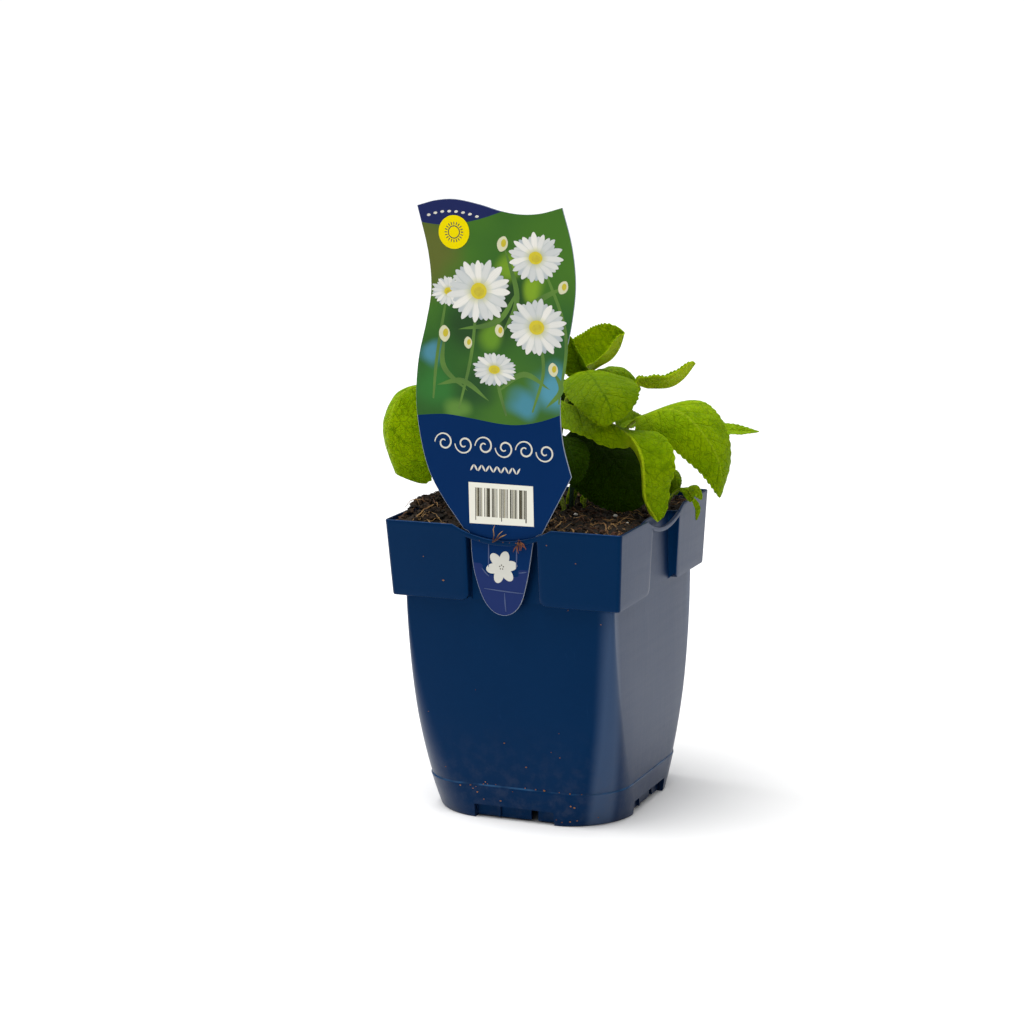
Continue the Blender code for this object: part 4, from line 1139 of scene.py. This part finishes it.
def makeMarks():
    marks = []
    scroll, row = ornament["scroll"], ornament["dotRow"]
    for k in range(scroll["count"]):
        x, y = alongRow(scroll, k)
        line = []
        for angle in [2.7 * pi * step / 60 for step in range(61)]:
            reach = scroll["radius"] * (1 - 0.3 * angle / pi)
            line.append((x - reach * cos(angle), y + (-1) ** k * reach * sin(angle)))
        marks.append(flatShape(ribbon(line, scroll["wide"], 0.4), levels["marks"] + 0.001 * k))
    for k in range(row["count"]):
        marks.append(flatShape(oval(*alongRow(row, k), 1.6, 0.42, pi / 2 - 0.5 * (-1) ** k, 0.6, 12), levels["marks"]))
    for x, y in ornament["swooshDots"]:
        marks.append(flatShape(oval(x, y, 0.9, 0.55, 0.2, 0.3, 12), levels["marks"]))
    printPiece("labelCreamPrint", marks)


def makeStrips():
    strips = ornament["strips"]
    last, top, halves = strips["count"] - 1, strips["top"], strips["halfWidths"]
    dark, pale = [], []
    for k in [k for k in range(strips["count"]) if k not in strips["missing"]]:
        x, half = strips["from"] + strips["across"] * k / last, halves[k * 3 % len(halves)]
        foot = strips["longFoot" if k in (0, strips["count"] // 2, last) else "foot"]
        corners = [(x - half, top), (x + half, top - 0.01), (x + half, foot), (x - half, foot)]
        (pale if k % 3 == 1 else dark).append(flatShape(corners, levels["strips"]))
    printPiece("labelStrips", dark)
    printPiece("labelPaleStrips", pale)


tab = {
    "lower": [(-16.0, -14.0), (-12.4, -14.1), (-9.6, -14.6), (-7.4, -18.5), (6.4, -19.0), (7.6, -16.0), (13.5, -15.8),
              (16.0, -15.7)],
    "ridges": [[(-6.4, -5.5), (-6.4, -10.5), (-6.5, -15.5)], [(6.6, -5.5), (6.6, -10.5), (6.4, -15.5)],
               [(-9.6, -16.2), (-8.0, -18.0), (-6.2, -19.6)], [(7.6, -17.2), (9.4, -16.9), (11.2, -16.6)],
               [(-8.6, -25.0), (0.5, -25.6), (10.0, -26.0)], [(0.9, -26.4), (1.2, -30.5), (1.6, -34.5)]],
    "blossom": (-0.4, -15.2, 7.2, 6), "dotTurns": (0.3, 1.6, 2.8, 4.1, 5.3)}


def makeTab():
    # thin pressed lines and a plain blossom
    ridges = [ribbon(wholeCurve(line, 4), 0.55, 0.6) for line in tab["ridges"]]
    printPiece("tabRidges", [flatShape(ridge, levels["ridges"], 0.14) for ridge in ridges])
    x, y, size, count = tab["blossom"]
    blossom = []
    for k, a in enumerate([2 * pi * k / count + 0.2 for k in range(count)]):
        petal = oval(x + cos(a) * size * 0.55, y + sin(a) * size * 0.55, size * 0.47, size * 0.31, a)
        blossom.append(flatShape(petal, levels["blossom"] + 0.001 * k))
    blossom.append(flatShape(oval(x, y, size * 0.3, size * 0.3), levels["blossom"] + 0.01))
    printPiece("tabBlossom", blossom)
    dots = [oval(x + cos(a) * 0.9, y + sin(a) * 0.9, 0.32, 0.32, count=10) for a in tab["dotTurns"]]
    printPiece("tabBlossomDots", [flatShape(dot, levels["blossomDots"]) for dot in dots])


def makeLabel():
    outline = labelOutline()
    inside, pictureEdge = drawnIn(outline, label["edge"]), drawnIn(outline, label["pictureEdge"])
    foot, swoosh, ground = label["pictureFoot"], label["swoosh"], levels["ground"]
    printPiece("plantLabel", [flatShape(outline, 0.0, label["thick"])], "plant_label")
    printPiece("labelBack", [flatShape(inside, -label["thick"], 0.015)])
    printPiece("labelBluePrint", [flatShape(outlinePart(inside, None, foot), ground, ground)])
    printPiece("labelSwoosh", [flatShape(outlinePart(inside, swoosh, None), ground, ground)])
    picture = flatShape(outlinePart(pictureEdge, foot, swoosh), ground, ground)
    finishPiece(joinPieces([picture], "labelPicture"), gardenBlur(), "label_plastic")
    makeStems()
    makeDaisies()
    makeSun()
    printPiece("labelPatch", [flatShape(label["patch"], levels["marks"])])
    makeMarks()
    makeStrips()
    printPiece("tabLower", [flatShape(outlinePart(inside, None, tab["lower"]), levels["tabLower"], 0.01)])
    makeTab()


makeLabel()
print("label made")

# Leaves

leaves = {
    "leaf_front_broad": {
        "hole": (5, 0), "stalk": [(4, 4, 171)],
        "midrib": [(13, 6, 191), (22, -6, 193), (31, -17, 189), (37, -22, 183), (40, -25, 176)],
        "halfWidths": (19, 14), "face": ((0.08, -0.18, 1), (0.35, -0.94, 0.35)),
        "fold": (-4, -6), "curl": (-30, -25), "blunt": (0.32, 0.43)},
    "leaf_right_drooping": {
        "hole": (15, 20), "stalk": [(18, 13, 152), (27, 16, 163)],
        "midrib": [(35, 16, 170.5), (42, 14, 174), (51, 11.5, 176.8), (60, 9.5, 175), (68, 9, 168), (74, 11, 158),
                   (76, 13, 147.5), (74, 16, 138)],
        "halfWidths": (19, 16), "face": ((0.18, -0.41, 1), (0.69, -0.57, 0.1)),
        "fold": (-10, -14), "curl": (-20, -38), "blunt": (0.42, 0.85)},
    "leaf_front_arching": {
        "hole": (10, -30), "stalk": [(-2, -1, 164)],
        "midrib": [(1, -2, 179), (14, -6, 179), (26, -11, 176), (37, -15, 173), (46, -18, 168), (50, -18, 160),
                   (51, -18, 151), (51, -16, 141), (55, -11, 131)],
        "halfWidths": (16, 12), "face": ((0.33, -0.75, 0.55), (0.2, -0.5, 1), (0.35, -0.9, 0.3), (0.3, -0.95, 0.1)),
        "fold": (-50, -10), "curl": (-10, -10), "blunt": (0.22, 0.85), "farBlunt": (1.1, 0.5), "stiffness": 0.5,
        "tipFold": (-5, -80), "foldSpans": ((0.45, 0.75), (0.4, 0.55)), "turning": 0.4},
    "leaf_top_cupped": {
        "hole": (5, 120), "stalk": [(-2, 18, 164), (3, 24, 180)],
        "midrib": [(7, 25, 188), (13, 25, 192), (20, 24, 196), (24, 24, 201), (27, 23, 208)],
        "halfWidths": (17, 9), "face": ((0.02, -0.91, 0.42), (0.02, -0.91, 0.42)),
        "fold": (18, 85), "curl": (10, 5), "blunt": (0.35, 0.47)},
    "leaf_top_young": {
        "hole": (5, 60), "stalk": [(2, 9, 166)],
        "midrib": [(11, 13, 188), (10, 10, 196), (9, 7, 202), (8, 5, 208)],
        "halfWidths": (8, 6), "face": ((0.31, -0.96, 0.1), (0.31, -0.96, -0.1)),
        "fold": (15, 50), "curl": (25, 10), "blunt": (0.4, 0.8)},
    "leaf_behind_broad": {
        "hole": (10, 90), "stalk": [(7, 14, 169)],
        "midrib": [(14, 19, 188), (19, 26, 190), (24, 32, 189), (27, 35, 186), (30, 35, 181)],
        "halfWidths": (9, 9), "face": ((0.2, -0.46, 1), (0.84, -0.18, 0.4)),
        "fold": (-25, -10), "curl": (-20, -20), "blunt": (0.55, 0.75)},
    "leaf_boat_shaped": {
        "hole": (10, 60), "stalk": [(11, 15, 156), (22, 22, 174)],
        "midrib": [(30, 27, 184), (35, 32, 183), (43, 36, 183), (48, 40, 186), (53, 43, 192.5)],
        "halfWidths": (5.5, 7.5), "face": ((0.05, -0.36, 1), (-0.34, -0.48, 0.8)),
        "fold": (55, 58), "curl": (15, 15), "blunt": (0.4, 0.45), "stiffness": 0.8},
    "leaf_far_right": {
        "hole": (15, 40), "stalk": [(18, 24, 152), (33, 40, 161)],
        "midrib": [(46, 50, 162), (57, 55, 161), (66, 60, 160), (75, 67, 159)],
        "halfWidths": (7.5, 7.5), "face": ((0.1, -0.23, 1), (0.12, -0.27, 1)),
        "fold": (8, 8), "curl": (0, 0), "blunt": (0.5, 0.9)},
    "leaf_left_drooping": {
        "hole": (10, 210), "stalk": [(-19, -10, 167)],
        "midrib": [(-40, -26, 187), (-48, -31, 189), (-55, -36, 185), (-59, -40, 174), (-59, -41, 163),
                   (-56, -39, 150)],
        "halfWidths": (21, 13), "face": ((0.15, -0.59, 1), (-0.06, -1.12, 0.1)),
        "fold": (-12, -30), "curl": (-20, -45), "blunt": (0.42, 0.22)},
    "leaf_shaded_large": {
        "hole": (10, 0), "stalk": [(9, 6, 152)],
        "midrib": [(12, 5, 169), (21, 1, 163), (31, -2, 154), (39, -3, 145), (46, -4, 137)],
        "halfWidths": (14, 21), "face": ((0.33, -0.51, 1), (0.58, -0.84, 0.1)),
        "fold": (-5, -5), "curl": (-20, -20), "blunt": (0.34, 0.5)},
    "leaf_shaded_small": {
        "hole": (10, -60), "stalk": [(12, -16, 158)],
        "midrib": [(15, -21, 167.5), (21, -26.5, 162.5), (23.5, -28.5, 156), (24, -27.5, 149)],
        "halfWidths": (8.5, 9), "face": ((0.33, -0.51, 1), (0.49, -0.88, 0.1)),
        "fold": (-5, -5), "curl": (-15, -15), "blunt": (0.34, 0.6)},
    "leaf_middle": {
        "hole": (10, 30), "stalk": [(16, 15, 158)],
        "midrib": [(23, 23, 165), (27, 28, 168), (31, 32, 167), (35, 36, 164)],
        "halfWidths": (8, 6), "face": ((0.12, -0.27, 1), (0.52, -0.43, 0.8)),
        "fold": (5, 5), "curl": (-10, -10), "blunt": (0.55, 0.75)},
    "leaf_low_right": {
        "hole": (45.6, 37.9), "stalk": [(36, 29, 140)],
        "midrib": [(41, 35, 146), (43, 38, 143), (45, 40, 139), (45, 40, 133)],
        "halfWidths": (6, 6), "face": ((0.2, -0.46, 1), (0.73, -0.66, 0.2)),
        "fold": (-15, -15), "curl": (-30, -20), "blunt": (0.5, 0.6), "stiffness": 0.5, "turning": 0.4},
    "leaf_back_left": {
        "hole": (10, 150), "stalk": [(-15, 9, 158)],
        "midrib": [(-24, 15, 170), (-36, 23, 175), (-48, 31, 170), (-55, 37, 158), (-57, 40, 145)],
        "halfWidths": (14, 14), "face": ((-0.1, 0.1, 1), (-0.75, 0.6, 0.2)),
        "fold": (-8, -8), "curl": (-20, -20), "blunt": (0.45, 0.65)},
    "leaf_back": {
        "hole": (10, 120), "stalk": [(-9, 17, 160)],
        "midrib": [(-13, 26, 172), (-19, 38, 178), (-25, 50, 174), (-30, 58, 163), (-33, 61, 150)],
        "halfWidths": (14, 14), "face": ((-0.1, 0.1, 1), (-0.4, 0.9, 0.2)),
        "fold": (-8, -8), "curl": (-22, -22), "blunt": (0.45, 0.65)},
    "leaf_back_low": {
        "hole": (15, 80), "stalk": [(4, 20, 143)],
        "midrib": [(6, 27, 148), (9, 38, 150), (12, 48, 146), (14, 55, 139)],
        "halfWidths": (11, 11), "face": ((0, 0.1, 1), (0.2, 0.6, 0.8)),
        "fold": (6, 6), "curl": (-20, -20), "blunt": (0.5, 0.7)},
    "leaf_front_left": {
        "hole": (10, 240), "stalk": [(-9, -13, 150)],
        "midrib": [(-14, -19, 158), (-22, -27, 161), (-30, -33, 156), (-35, -36, 146)],
        "halfWidths": (11, 11), "face": ((0, -0.1, 1), (-0.5, -0.7, 0.4)),
        "fold": (-8, -8), "curl": (-15, -15), "blunt": (0.5, 0.65)},
    "leaf_upright": {
        "hole": (5, 180), "stalk": [(-4, 5, 158)],
        "midrib": [(0, 7, 167), (3, 7.6, 175), (4, 8.4, 182), (4, 8.8, 188)],
        "halfWidths": (8, 8), "face": ((0.2, -0.98, 0.1), (0.2, -0.98, 0.1)),
        "fold": (2, 2), "curl": (0, 0), "blunt": (0.45, 0.6)},
    "leaf_young": {
        "hole": (5, 240), "stalk": [(-4, -7, 158)],
        "midrib": [(-6, -11, 170), (-8, -16, 180), (-11, -22, 188), (-16, -27, 193)],
        "halfWidths": (8, 8), "face": ((0.1, 0.7, 0.5), (0.2, 0.5, 0.9)),
        "fold": (25, 25), "curl": (10, 10), "blunt": (0.5, 0.7)},
}

# A small side shoot that leans over the rim, its three little leaves fused with its stalk
shoot = {
    "hole": (52.6, 30.5), "stalk": [(48, 29, 136)],
    "leaves": [
        {"midrib": [(51, 29, 138), (54, 29, 138), (56, 28, 136), (57, 27, 133)],
         "halfWidths": (3.0, 3.0), "face": ((0.3, -0.4, 1), (0.7, -0.7, 0.2))},
        {"midrib": [(53, 30, 137), (56, 32, 138), (58, 34, 136), (59, 35, 133)],
         "halfWidths": (3.2, 3.2), "face": ((0.3, -0.3, 1), (0.8, -0.5, 0.2))},
        {"midrib": [(57, 28, 134.5), (58.5, 29.5, 131), (59, 29.5, 128), (58.8, 28, 124.5)],
         "halfWidths": (1.6, 1.6), "face": ((0.8, -0.6, 0.2), (0.9, -0.4, 0.1))}],
}


leafRules = {
    "thick": 0.5, "edgeThinning": 0.55, "stalkRadius": 1.0, "bladeStart": 0.06, "spanSteps": 24, "stalkRows": 14,
    "rootDepth": 12.0, "leastWidth": 0.3, "laterals": 8.5, "lean": 0.24, "pucker": 0.34, "edgeWave": 0.35,
    # teeth take up the outer part of each half, and lean forward
    "rowsPerTooth": 4, "toothedFrom": 0.8, "toothDepth": 0.28, "toothForward": 0.3,
    # height and width of the groove above the midrib and of the ridge below it
    "groove": (0.35, 1.1), "ridge": (0.75, 0.75),
    # how far from the midrib to the edge each row of points lies
    "shares": [0, 0.02, 0.045, 0.08, 0.13, 0.19, 0.26, 0.33, 0.4, 0.47, 0.54, 0.61, 0.68, 0.75, 0.81, 0.87, 0.92, 0.96,
               0.985, 1.0]}


def unit(vector):
    return vector / np.linalg.norm(vector)


def bladeWidth(t, blunt):
    base, tip = blunt
    widest = base / (base + tip)
    return t ** base * (1 - t) ** tip / (widest ** base * (1 - widest) ** tip)


def halfSection(width, side, fold, curl, share):
    steps = 6
    across = rise = 0.0
    for k in range(steps):
        heading = fold + curl * share * (k + 0.5) / steps
        across += cos(heading) * width * share / steps
        rise += sin(heading) * width * share / steps
    return side * across, rise, fold + curl * share


def toothAt(phase):
    # outline of one tooth: from its notch it rises slowly to its point and falls back faster
    return (1 - cos(pi * phase / 0.64)) - 1 if phase < 0.64 else (1 + cos(pi * (phase - 0.64) / 0.36)) - 1


def leafLine(stalk, midrib, teeth):
    # the blade's direction, and rows from the stalk's foot to the tip: place, direction and share of the blade
    span, stalkRows, bladeRows = leafRules["spanSteps"], leafRules["stalkRows"], teeth * leafRules["rowsPerTooth"]
    path = list(np.linspace(stalk[0], stalk[1], span, endpoint=False))
    path = np.array([*path, *wholeCurve(stalk[1:] + midrib, span)])
    along = np.r_[0, np.cumsum(np.linalg.norm(np.diff(path, axis=0), axis=1))]
    heading = np.gradient(path, axis=0)
    foot, start = along[span], along[len(stalk) * span]
    rows = [(0.0, 0.0)] + [(foot + (start - foot) * k / stalkRows, 0.0) for k in range(stalkRows)]
    rows += [(start + (along[-1] - start) * k / bladeRows, k / bladeRows) for k in range(bladeRows + 1)]

    def at(distance, values):
        return np.array([np.interp(distance, along, values[:, axis]) for axis in range(3)])

    chord = unit(path[-1] - path[len(stalk) * span])
    return chord, [(at(distance, path), unit(at(distance, heading)), t) for distance, t in rows]


def halfBlade(leaf, which, t):
    # width, fold and curl of one half of the blade, without its teeth
    blunt = leaf.get("farBlunt", leaf["blunt"]) if which == 0 else leaf["blunt"]
    low, high = leaf["foldSpans"][which] if "foldSpans" in leaf else (0.0, 1.0)
    fold, tipFold = leaf["fold"][which], leaf.get("tipFold", leaf["fold"])[which]
    fold += (tipFold - fold) * clamp((t - low) / (high - low))
    width = bladeWidth(clamp(t, 0.004, 0.994), blunt) * leaf["halfWidths"][which]
    return width, radians(fold), radians(leaf["curl"][which])


def swellAt(t, reach, side, width, wave):
    # puckers between the side veins, a groove along the midrib and a slow wave near the edge
    (depth, wide), (freq, shift) = leafRules["groove"], wave
    vein = (t - reach * leafRules["lean"] * (1 - 0.25 * reach)) * leafRules["laterals"] + (0.5 if side > 0 else 0.0)
    swell = leafRules["pucker"] * (abs(sin(pi * vein)) ** 0.6 - 0.6)
    swell *= sin(pi * min(1.0, reach * 1.08)) * min(1.0, width / 8)
    swell -= depth * exp(-(reach * width / wide) ** 2) * min(1.0, width / 6)
    slow = sin(freq * 2 * pi * t + shift) * sin(pi * min(t * 1.2, 1.0))
    return swell + leafRules["edgeWave"] * slow * reach ** 3 * min(1.0, width / 3)


def leafRings(stalk, leaf, teeth, stalkRadius, shares, seed):
    # rings round the stalk that flatten into the blade, and each point's place on the leaf
    stiffness, turning = leaf.get("stiffness", 0.4), leaf.get("turning", 0.0)
    chord, rows = leafLine(stalk, leaf["midrib"], teeth)
    faces = np.array([unit(np.array(f, float)) for f in leaf["face"]])
    facePlaces = np.linspace(0, 1, len(faces))
    signed = [-s for s in shares[:0:-1]] + list(shares)
    ridgeDepth, ridgeWide = leafRules["ridge"]
    chance = random.Random(seed)
    waves = [(chance.uniform(2.0, 4.5), chance.uniform(0, 6.3)) for _ in range(2)]
    rings, places = [], []
    for row, (centre, ahead, t) in enumerate(rows):
        face = [np.interp(t, facePlaces, faces[:, axis]) for axis in range(3)]
        right = unit(np.cross(chord * (1 - turning) + ahead * turning, face))
        if row <= leafRules["stalkRows"]:
            right = unit(right - ahead * np.dot(right, ahead))
        else:
            ahead = unit(ahead * (1 - stiffness) + chord * stiffness)
        normal = unit(np.cross(right, ahead))
        flat = min(1.0, t / leafRules["bladeStart"])
        tooth = toothAt((t * teeth) % 1.0) if 1 / teeth < t < 1 else 0.0
        halves = [halfBlade(leaf, which, t) for which in (0, 1)]
        upper, lower = [], []
        for column, share in enumerate(signed):
            side, which, reach = (-1, 0, -share) if share < 0 else (1, 1, share)
            width, fold, curl = halves[which]
            edge = max(0.0, (reach - leafRules["toothedFrom"]) / (1 - leafRules["toothedFrom"])) ** 2
            width = max(width + leafRules["toothDepth"] * tooth * min(1.0, width / 4) * edge, leafRules["leastWidth"])
            slim = min(1.0, width / 3)
            across, rise, slope = halfSection(width, side, fold * slim, curl * slim, reach)
            place = centre + right * across + normal * (rise + swellAt(t, reach, side, width, waves[which]) * flat)
            place = place + ahead * leafRules["toothForward"] * max(tooth, 0.0) * edge
            facing = normal if share == 0 else -right * side * sin(slope) + normal * cos(slope)
            angle = pi * (1 - (column + 0.5) / len(signed))
            sideways, upright = right * cos(angle) * stalkRadius, normal * sin(angle) * stalkRadius
            thick = leafRules["thick"] / 2 * (1 - leafRules["edgeThinning"] * edge)
            ridge = ridgeDepth * (1 - t) ** 0.8 * exp(-(reach * width / ridgeWide) ** 2)
            upper.append((centre + sideways + upright) * (1 - flat) + (place + facing * thick) * flat)
            lower.append((centre + sideways - upright) * (1 - flat) + (place - facing * (thick + ridge)) * flat)
        rings.append(upper + lower[::-1])
        spots = [(share if flat > 0 else 0.0, t) for share in signed]
        places.append([(*spot, 1.0) for spot in spots] + [(*spot, 0.0) for spot in spots[::-1]])
    return np.array(rings), np.array(places)


def holePlace(hole):
    return hole[0] * cos(radians(hole[1])), hole[0] * sin(radians(hole[1]))


def stalkPoints(hole, points):
    x, y = holePlace(hole)
    return [(x, y, soil["edge"] - leafRules["rootDepth"]), (x, y, soilHeight(x, y) + 2)] + points


def makeLeaf(name, leaf, material, seed):
    teeth = 20 if max(leaf["halfWidths"]) > 9 else 16
    stalk = stalkPoints(leaf["hole"], leaf["stalk"])
    surface = leafRings(stalk, leaf, teeth, leafRules["stalkRadius"], leafRules["shares"], seed)
    piece = skinGrid(name.replace("leaf_", "leafBlade_"), *surface)
    smooth(piece, 50)
    finishPiece(piece, material, "leaf", name)


def makeShoot(material):
    plain = {"fold": (-8, -8), "curl": (-20, -20), "blunt": (0.5, 0.6)}
    first = shoot["leaves"][0]["midrib"]
    stalks = (stalkPoints(shoot["hole"], shoot["stalk"]), first[:2], first[1:3])
    shares = leafRules["shares"][::3] + [1.0]
    parts = []
    for number, (stalk, leaf) in enumerate(zip(stalks, shoot["leaves"])):
        parts.append(skinGrid("shootLeaf", *leafRings(stalk, {**plain, **leaf}, 7, 0.6, shares, number)))
    piece = joinPieces(parts, "sideShoot")
    smooth(piece, 50)
    finishPiece(piece, material, "leaf", "side_shoot")


def leafGreen(name, shade, litHalf=False, ribColour=(0.28, 0.39, 0.012), underside=1.0):
    def tinted(*colour):
        return tuple(c * s for c, s in zip(colour, shade))

    material, shader = newMaterial(name, 0.55, 0.06, (0.75, 1.0, 0.15))
    place = objectPlace(shader)
    side, along, upper = storedPlace(shader, "bladePlace")
    reach = sums("ABSOLUTE", side)
    lean = times(reach, sums("MULTIPLY_ADD", reach, -0.25 * leafRules["lean"], leafRules["lean"]))
    offset = times(sums("GREATER_THAN", side, 0.0), 0.5)
    vein = sums("MULTIPLY_ADD", sums("SUBTRACT", along, lean), leafRules["laterals"], offset)
    lateral = times(ramp(sums("PINGPONG", vein, 0.5), 0.085, 0.0), ramp(reach, 1.0, 0.1, 0.15, 1.0))
    rib = ramp(reach, 0.05, 0.01)
    net = ramp(cells(place, 420.0, "DISTANCE_TO_EDGE").outputs["Distance"], 0.12, 0.0)
    finer = ramp(cells(place, 1100.0, "DISTANCE_TO_EDGE").outputs["Distance"], 0.16, 0.0)
    tone = noise(place, 45.0, 4.0)
    mottle = noise(place, 330.0, 4.0, 0.65)
    fresh = blend(ramp(tone, 0.3, 0.7), tinted(0.15, 0.262, 0.0), tinted(0.215, 0.335, 0.0))
    fresh = blend(ramp(mottle, 0.5, 0.35, 0.0, 0.45), fresh, tinted(0.06, 0.135, 0.0))
    fresh = blend(ramp(mottle, 0.58, 0.72, 0.0, 0.3), fresh, tinted(0.29, 0.42, 0.004))
    # painted shade: the upper side is darker along the side veins and the fine net, where the bump sinks them into
    # grooves
    fresh = blend(times(lateral, 0.35), fresh, tinted(0.085, 0.16, 0.0))
    # the midrib in ribColour: its own pale green, but on the broad leaf a dark painted shade along its crease
    fresh = blend(times(rib, 0.55), fresh, tinted(*ribColour))
    fresh = blend(times(net, 0.3), fresh, tinted(0.085, 0.165, 0.0))
    dull = blend(ramp(tone, 0.3, 0.7), tinted(0.17 * underside, 0.25 * underside, 0.006),
                 tinted(0.215 * underside, 0.3 * underside, 0.012))
    dull = blend(times(lateral, 0.5), dull, tinted(0.3, 0.38, 0.05))
    dull = blend(times(rib, 0.7), dull, tinted(0.33, 0.42, 0.07))
    base = blend(upper, dull, fresh)
    base = blend(times(ramp(reach, 0.965, 0.99), 0.4), base, tinted(0.35, 0.47, 0.005))
    if litHalf:
        # the half that hangs beyond the fold catches the light from behind
        beyond = times(ramp(side, -0.09, -0.04), ramp(along, 0.48, 0.6))
        base = blend(times(beyond, 0.75), base, (0.36, 0.47, 0.008))
    specks = cells(place, 90.0)
    small = ramp(specks.outputs["Distance"], 0.07, 0.035)
    rare = sums("GREATER_THAN", addNode("SeparateXYZ", specks.outputs["Color"]).outputs[0], 0.84)
    base = blend(times(times(small, rare), 0.8), base, tinted(0.09, 0.035, 0.008))
    setInput(shader, "Base Color", base)
    setInput(shader, "Subsurface Weight", 0.25)
    setInput(shader, "Subsurface Radius", (0.5, 1.0, 0.2))
    setInput(shader, "Subsurface Scale", 0.0008)
    height = plus(times(lateral, -0.6), times(net, -0.5))
    height = plus(height, times(finer, -0.2))
    height = plus(height, times(noise(place, 260.0, 3.0), 1.1))
    setBump(shader, height, 0.00055, 0.9)
    return material


# copies of one green, each painted lighter or darker for the light that falls on its leaves: painted highlight on the
# sunlit ones, painted shade on the dimmer, arching, broad and shaded ones; the darkest, shaded one also stands in part
# for an older, darker leaf
green = leafGreen("leafGreen", (1.0, 1.0, 1.0))
sunlit = leafGreen("leafSunlit", (1.35, 1.25, 1.0), underside=1.4)
dimmer = leafGreen("leafDimmer", (0.68, 0.74, 1.0))
arching = leafGreen("leafArching", (0.95, 0.95, 1.0), True)
# the broad leaf's dark ribColour is painted shade in its midrib's crease
broad = leafGreen("leafBroad", (0.7, 0.72, 0.5), False, (0.07, 0.15, 0.0))
shaded = leafGreen("leafShaded", (0.065, 0.11, 0.5))
tones = {"leaf_top_cupped": sunlit, "leaf_boat_shaped": sunlit, "leaf_top_young": dimmer, "leaf_behind_broad": dimmer,
         "leaf_middle": dimmer, "leaf_low_right": dimmer, "leaf_front_arching": arching, "leaf_front_broad": broad,
         "leaf_shaded_large": shaded, "leaf_shaded_small": shaded, "leaf_upright": shaded}
for number, (name, leaf) in enumerate(leaves.items()):
    makeLeaf(name, leaf, tones.get(name, green), number)
makeShoot(green)
print("leaves made")
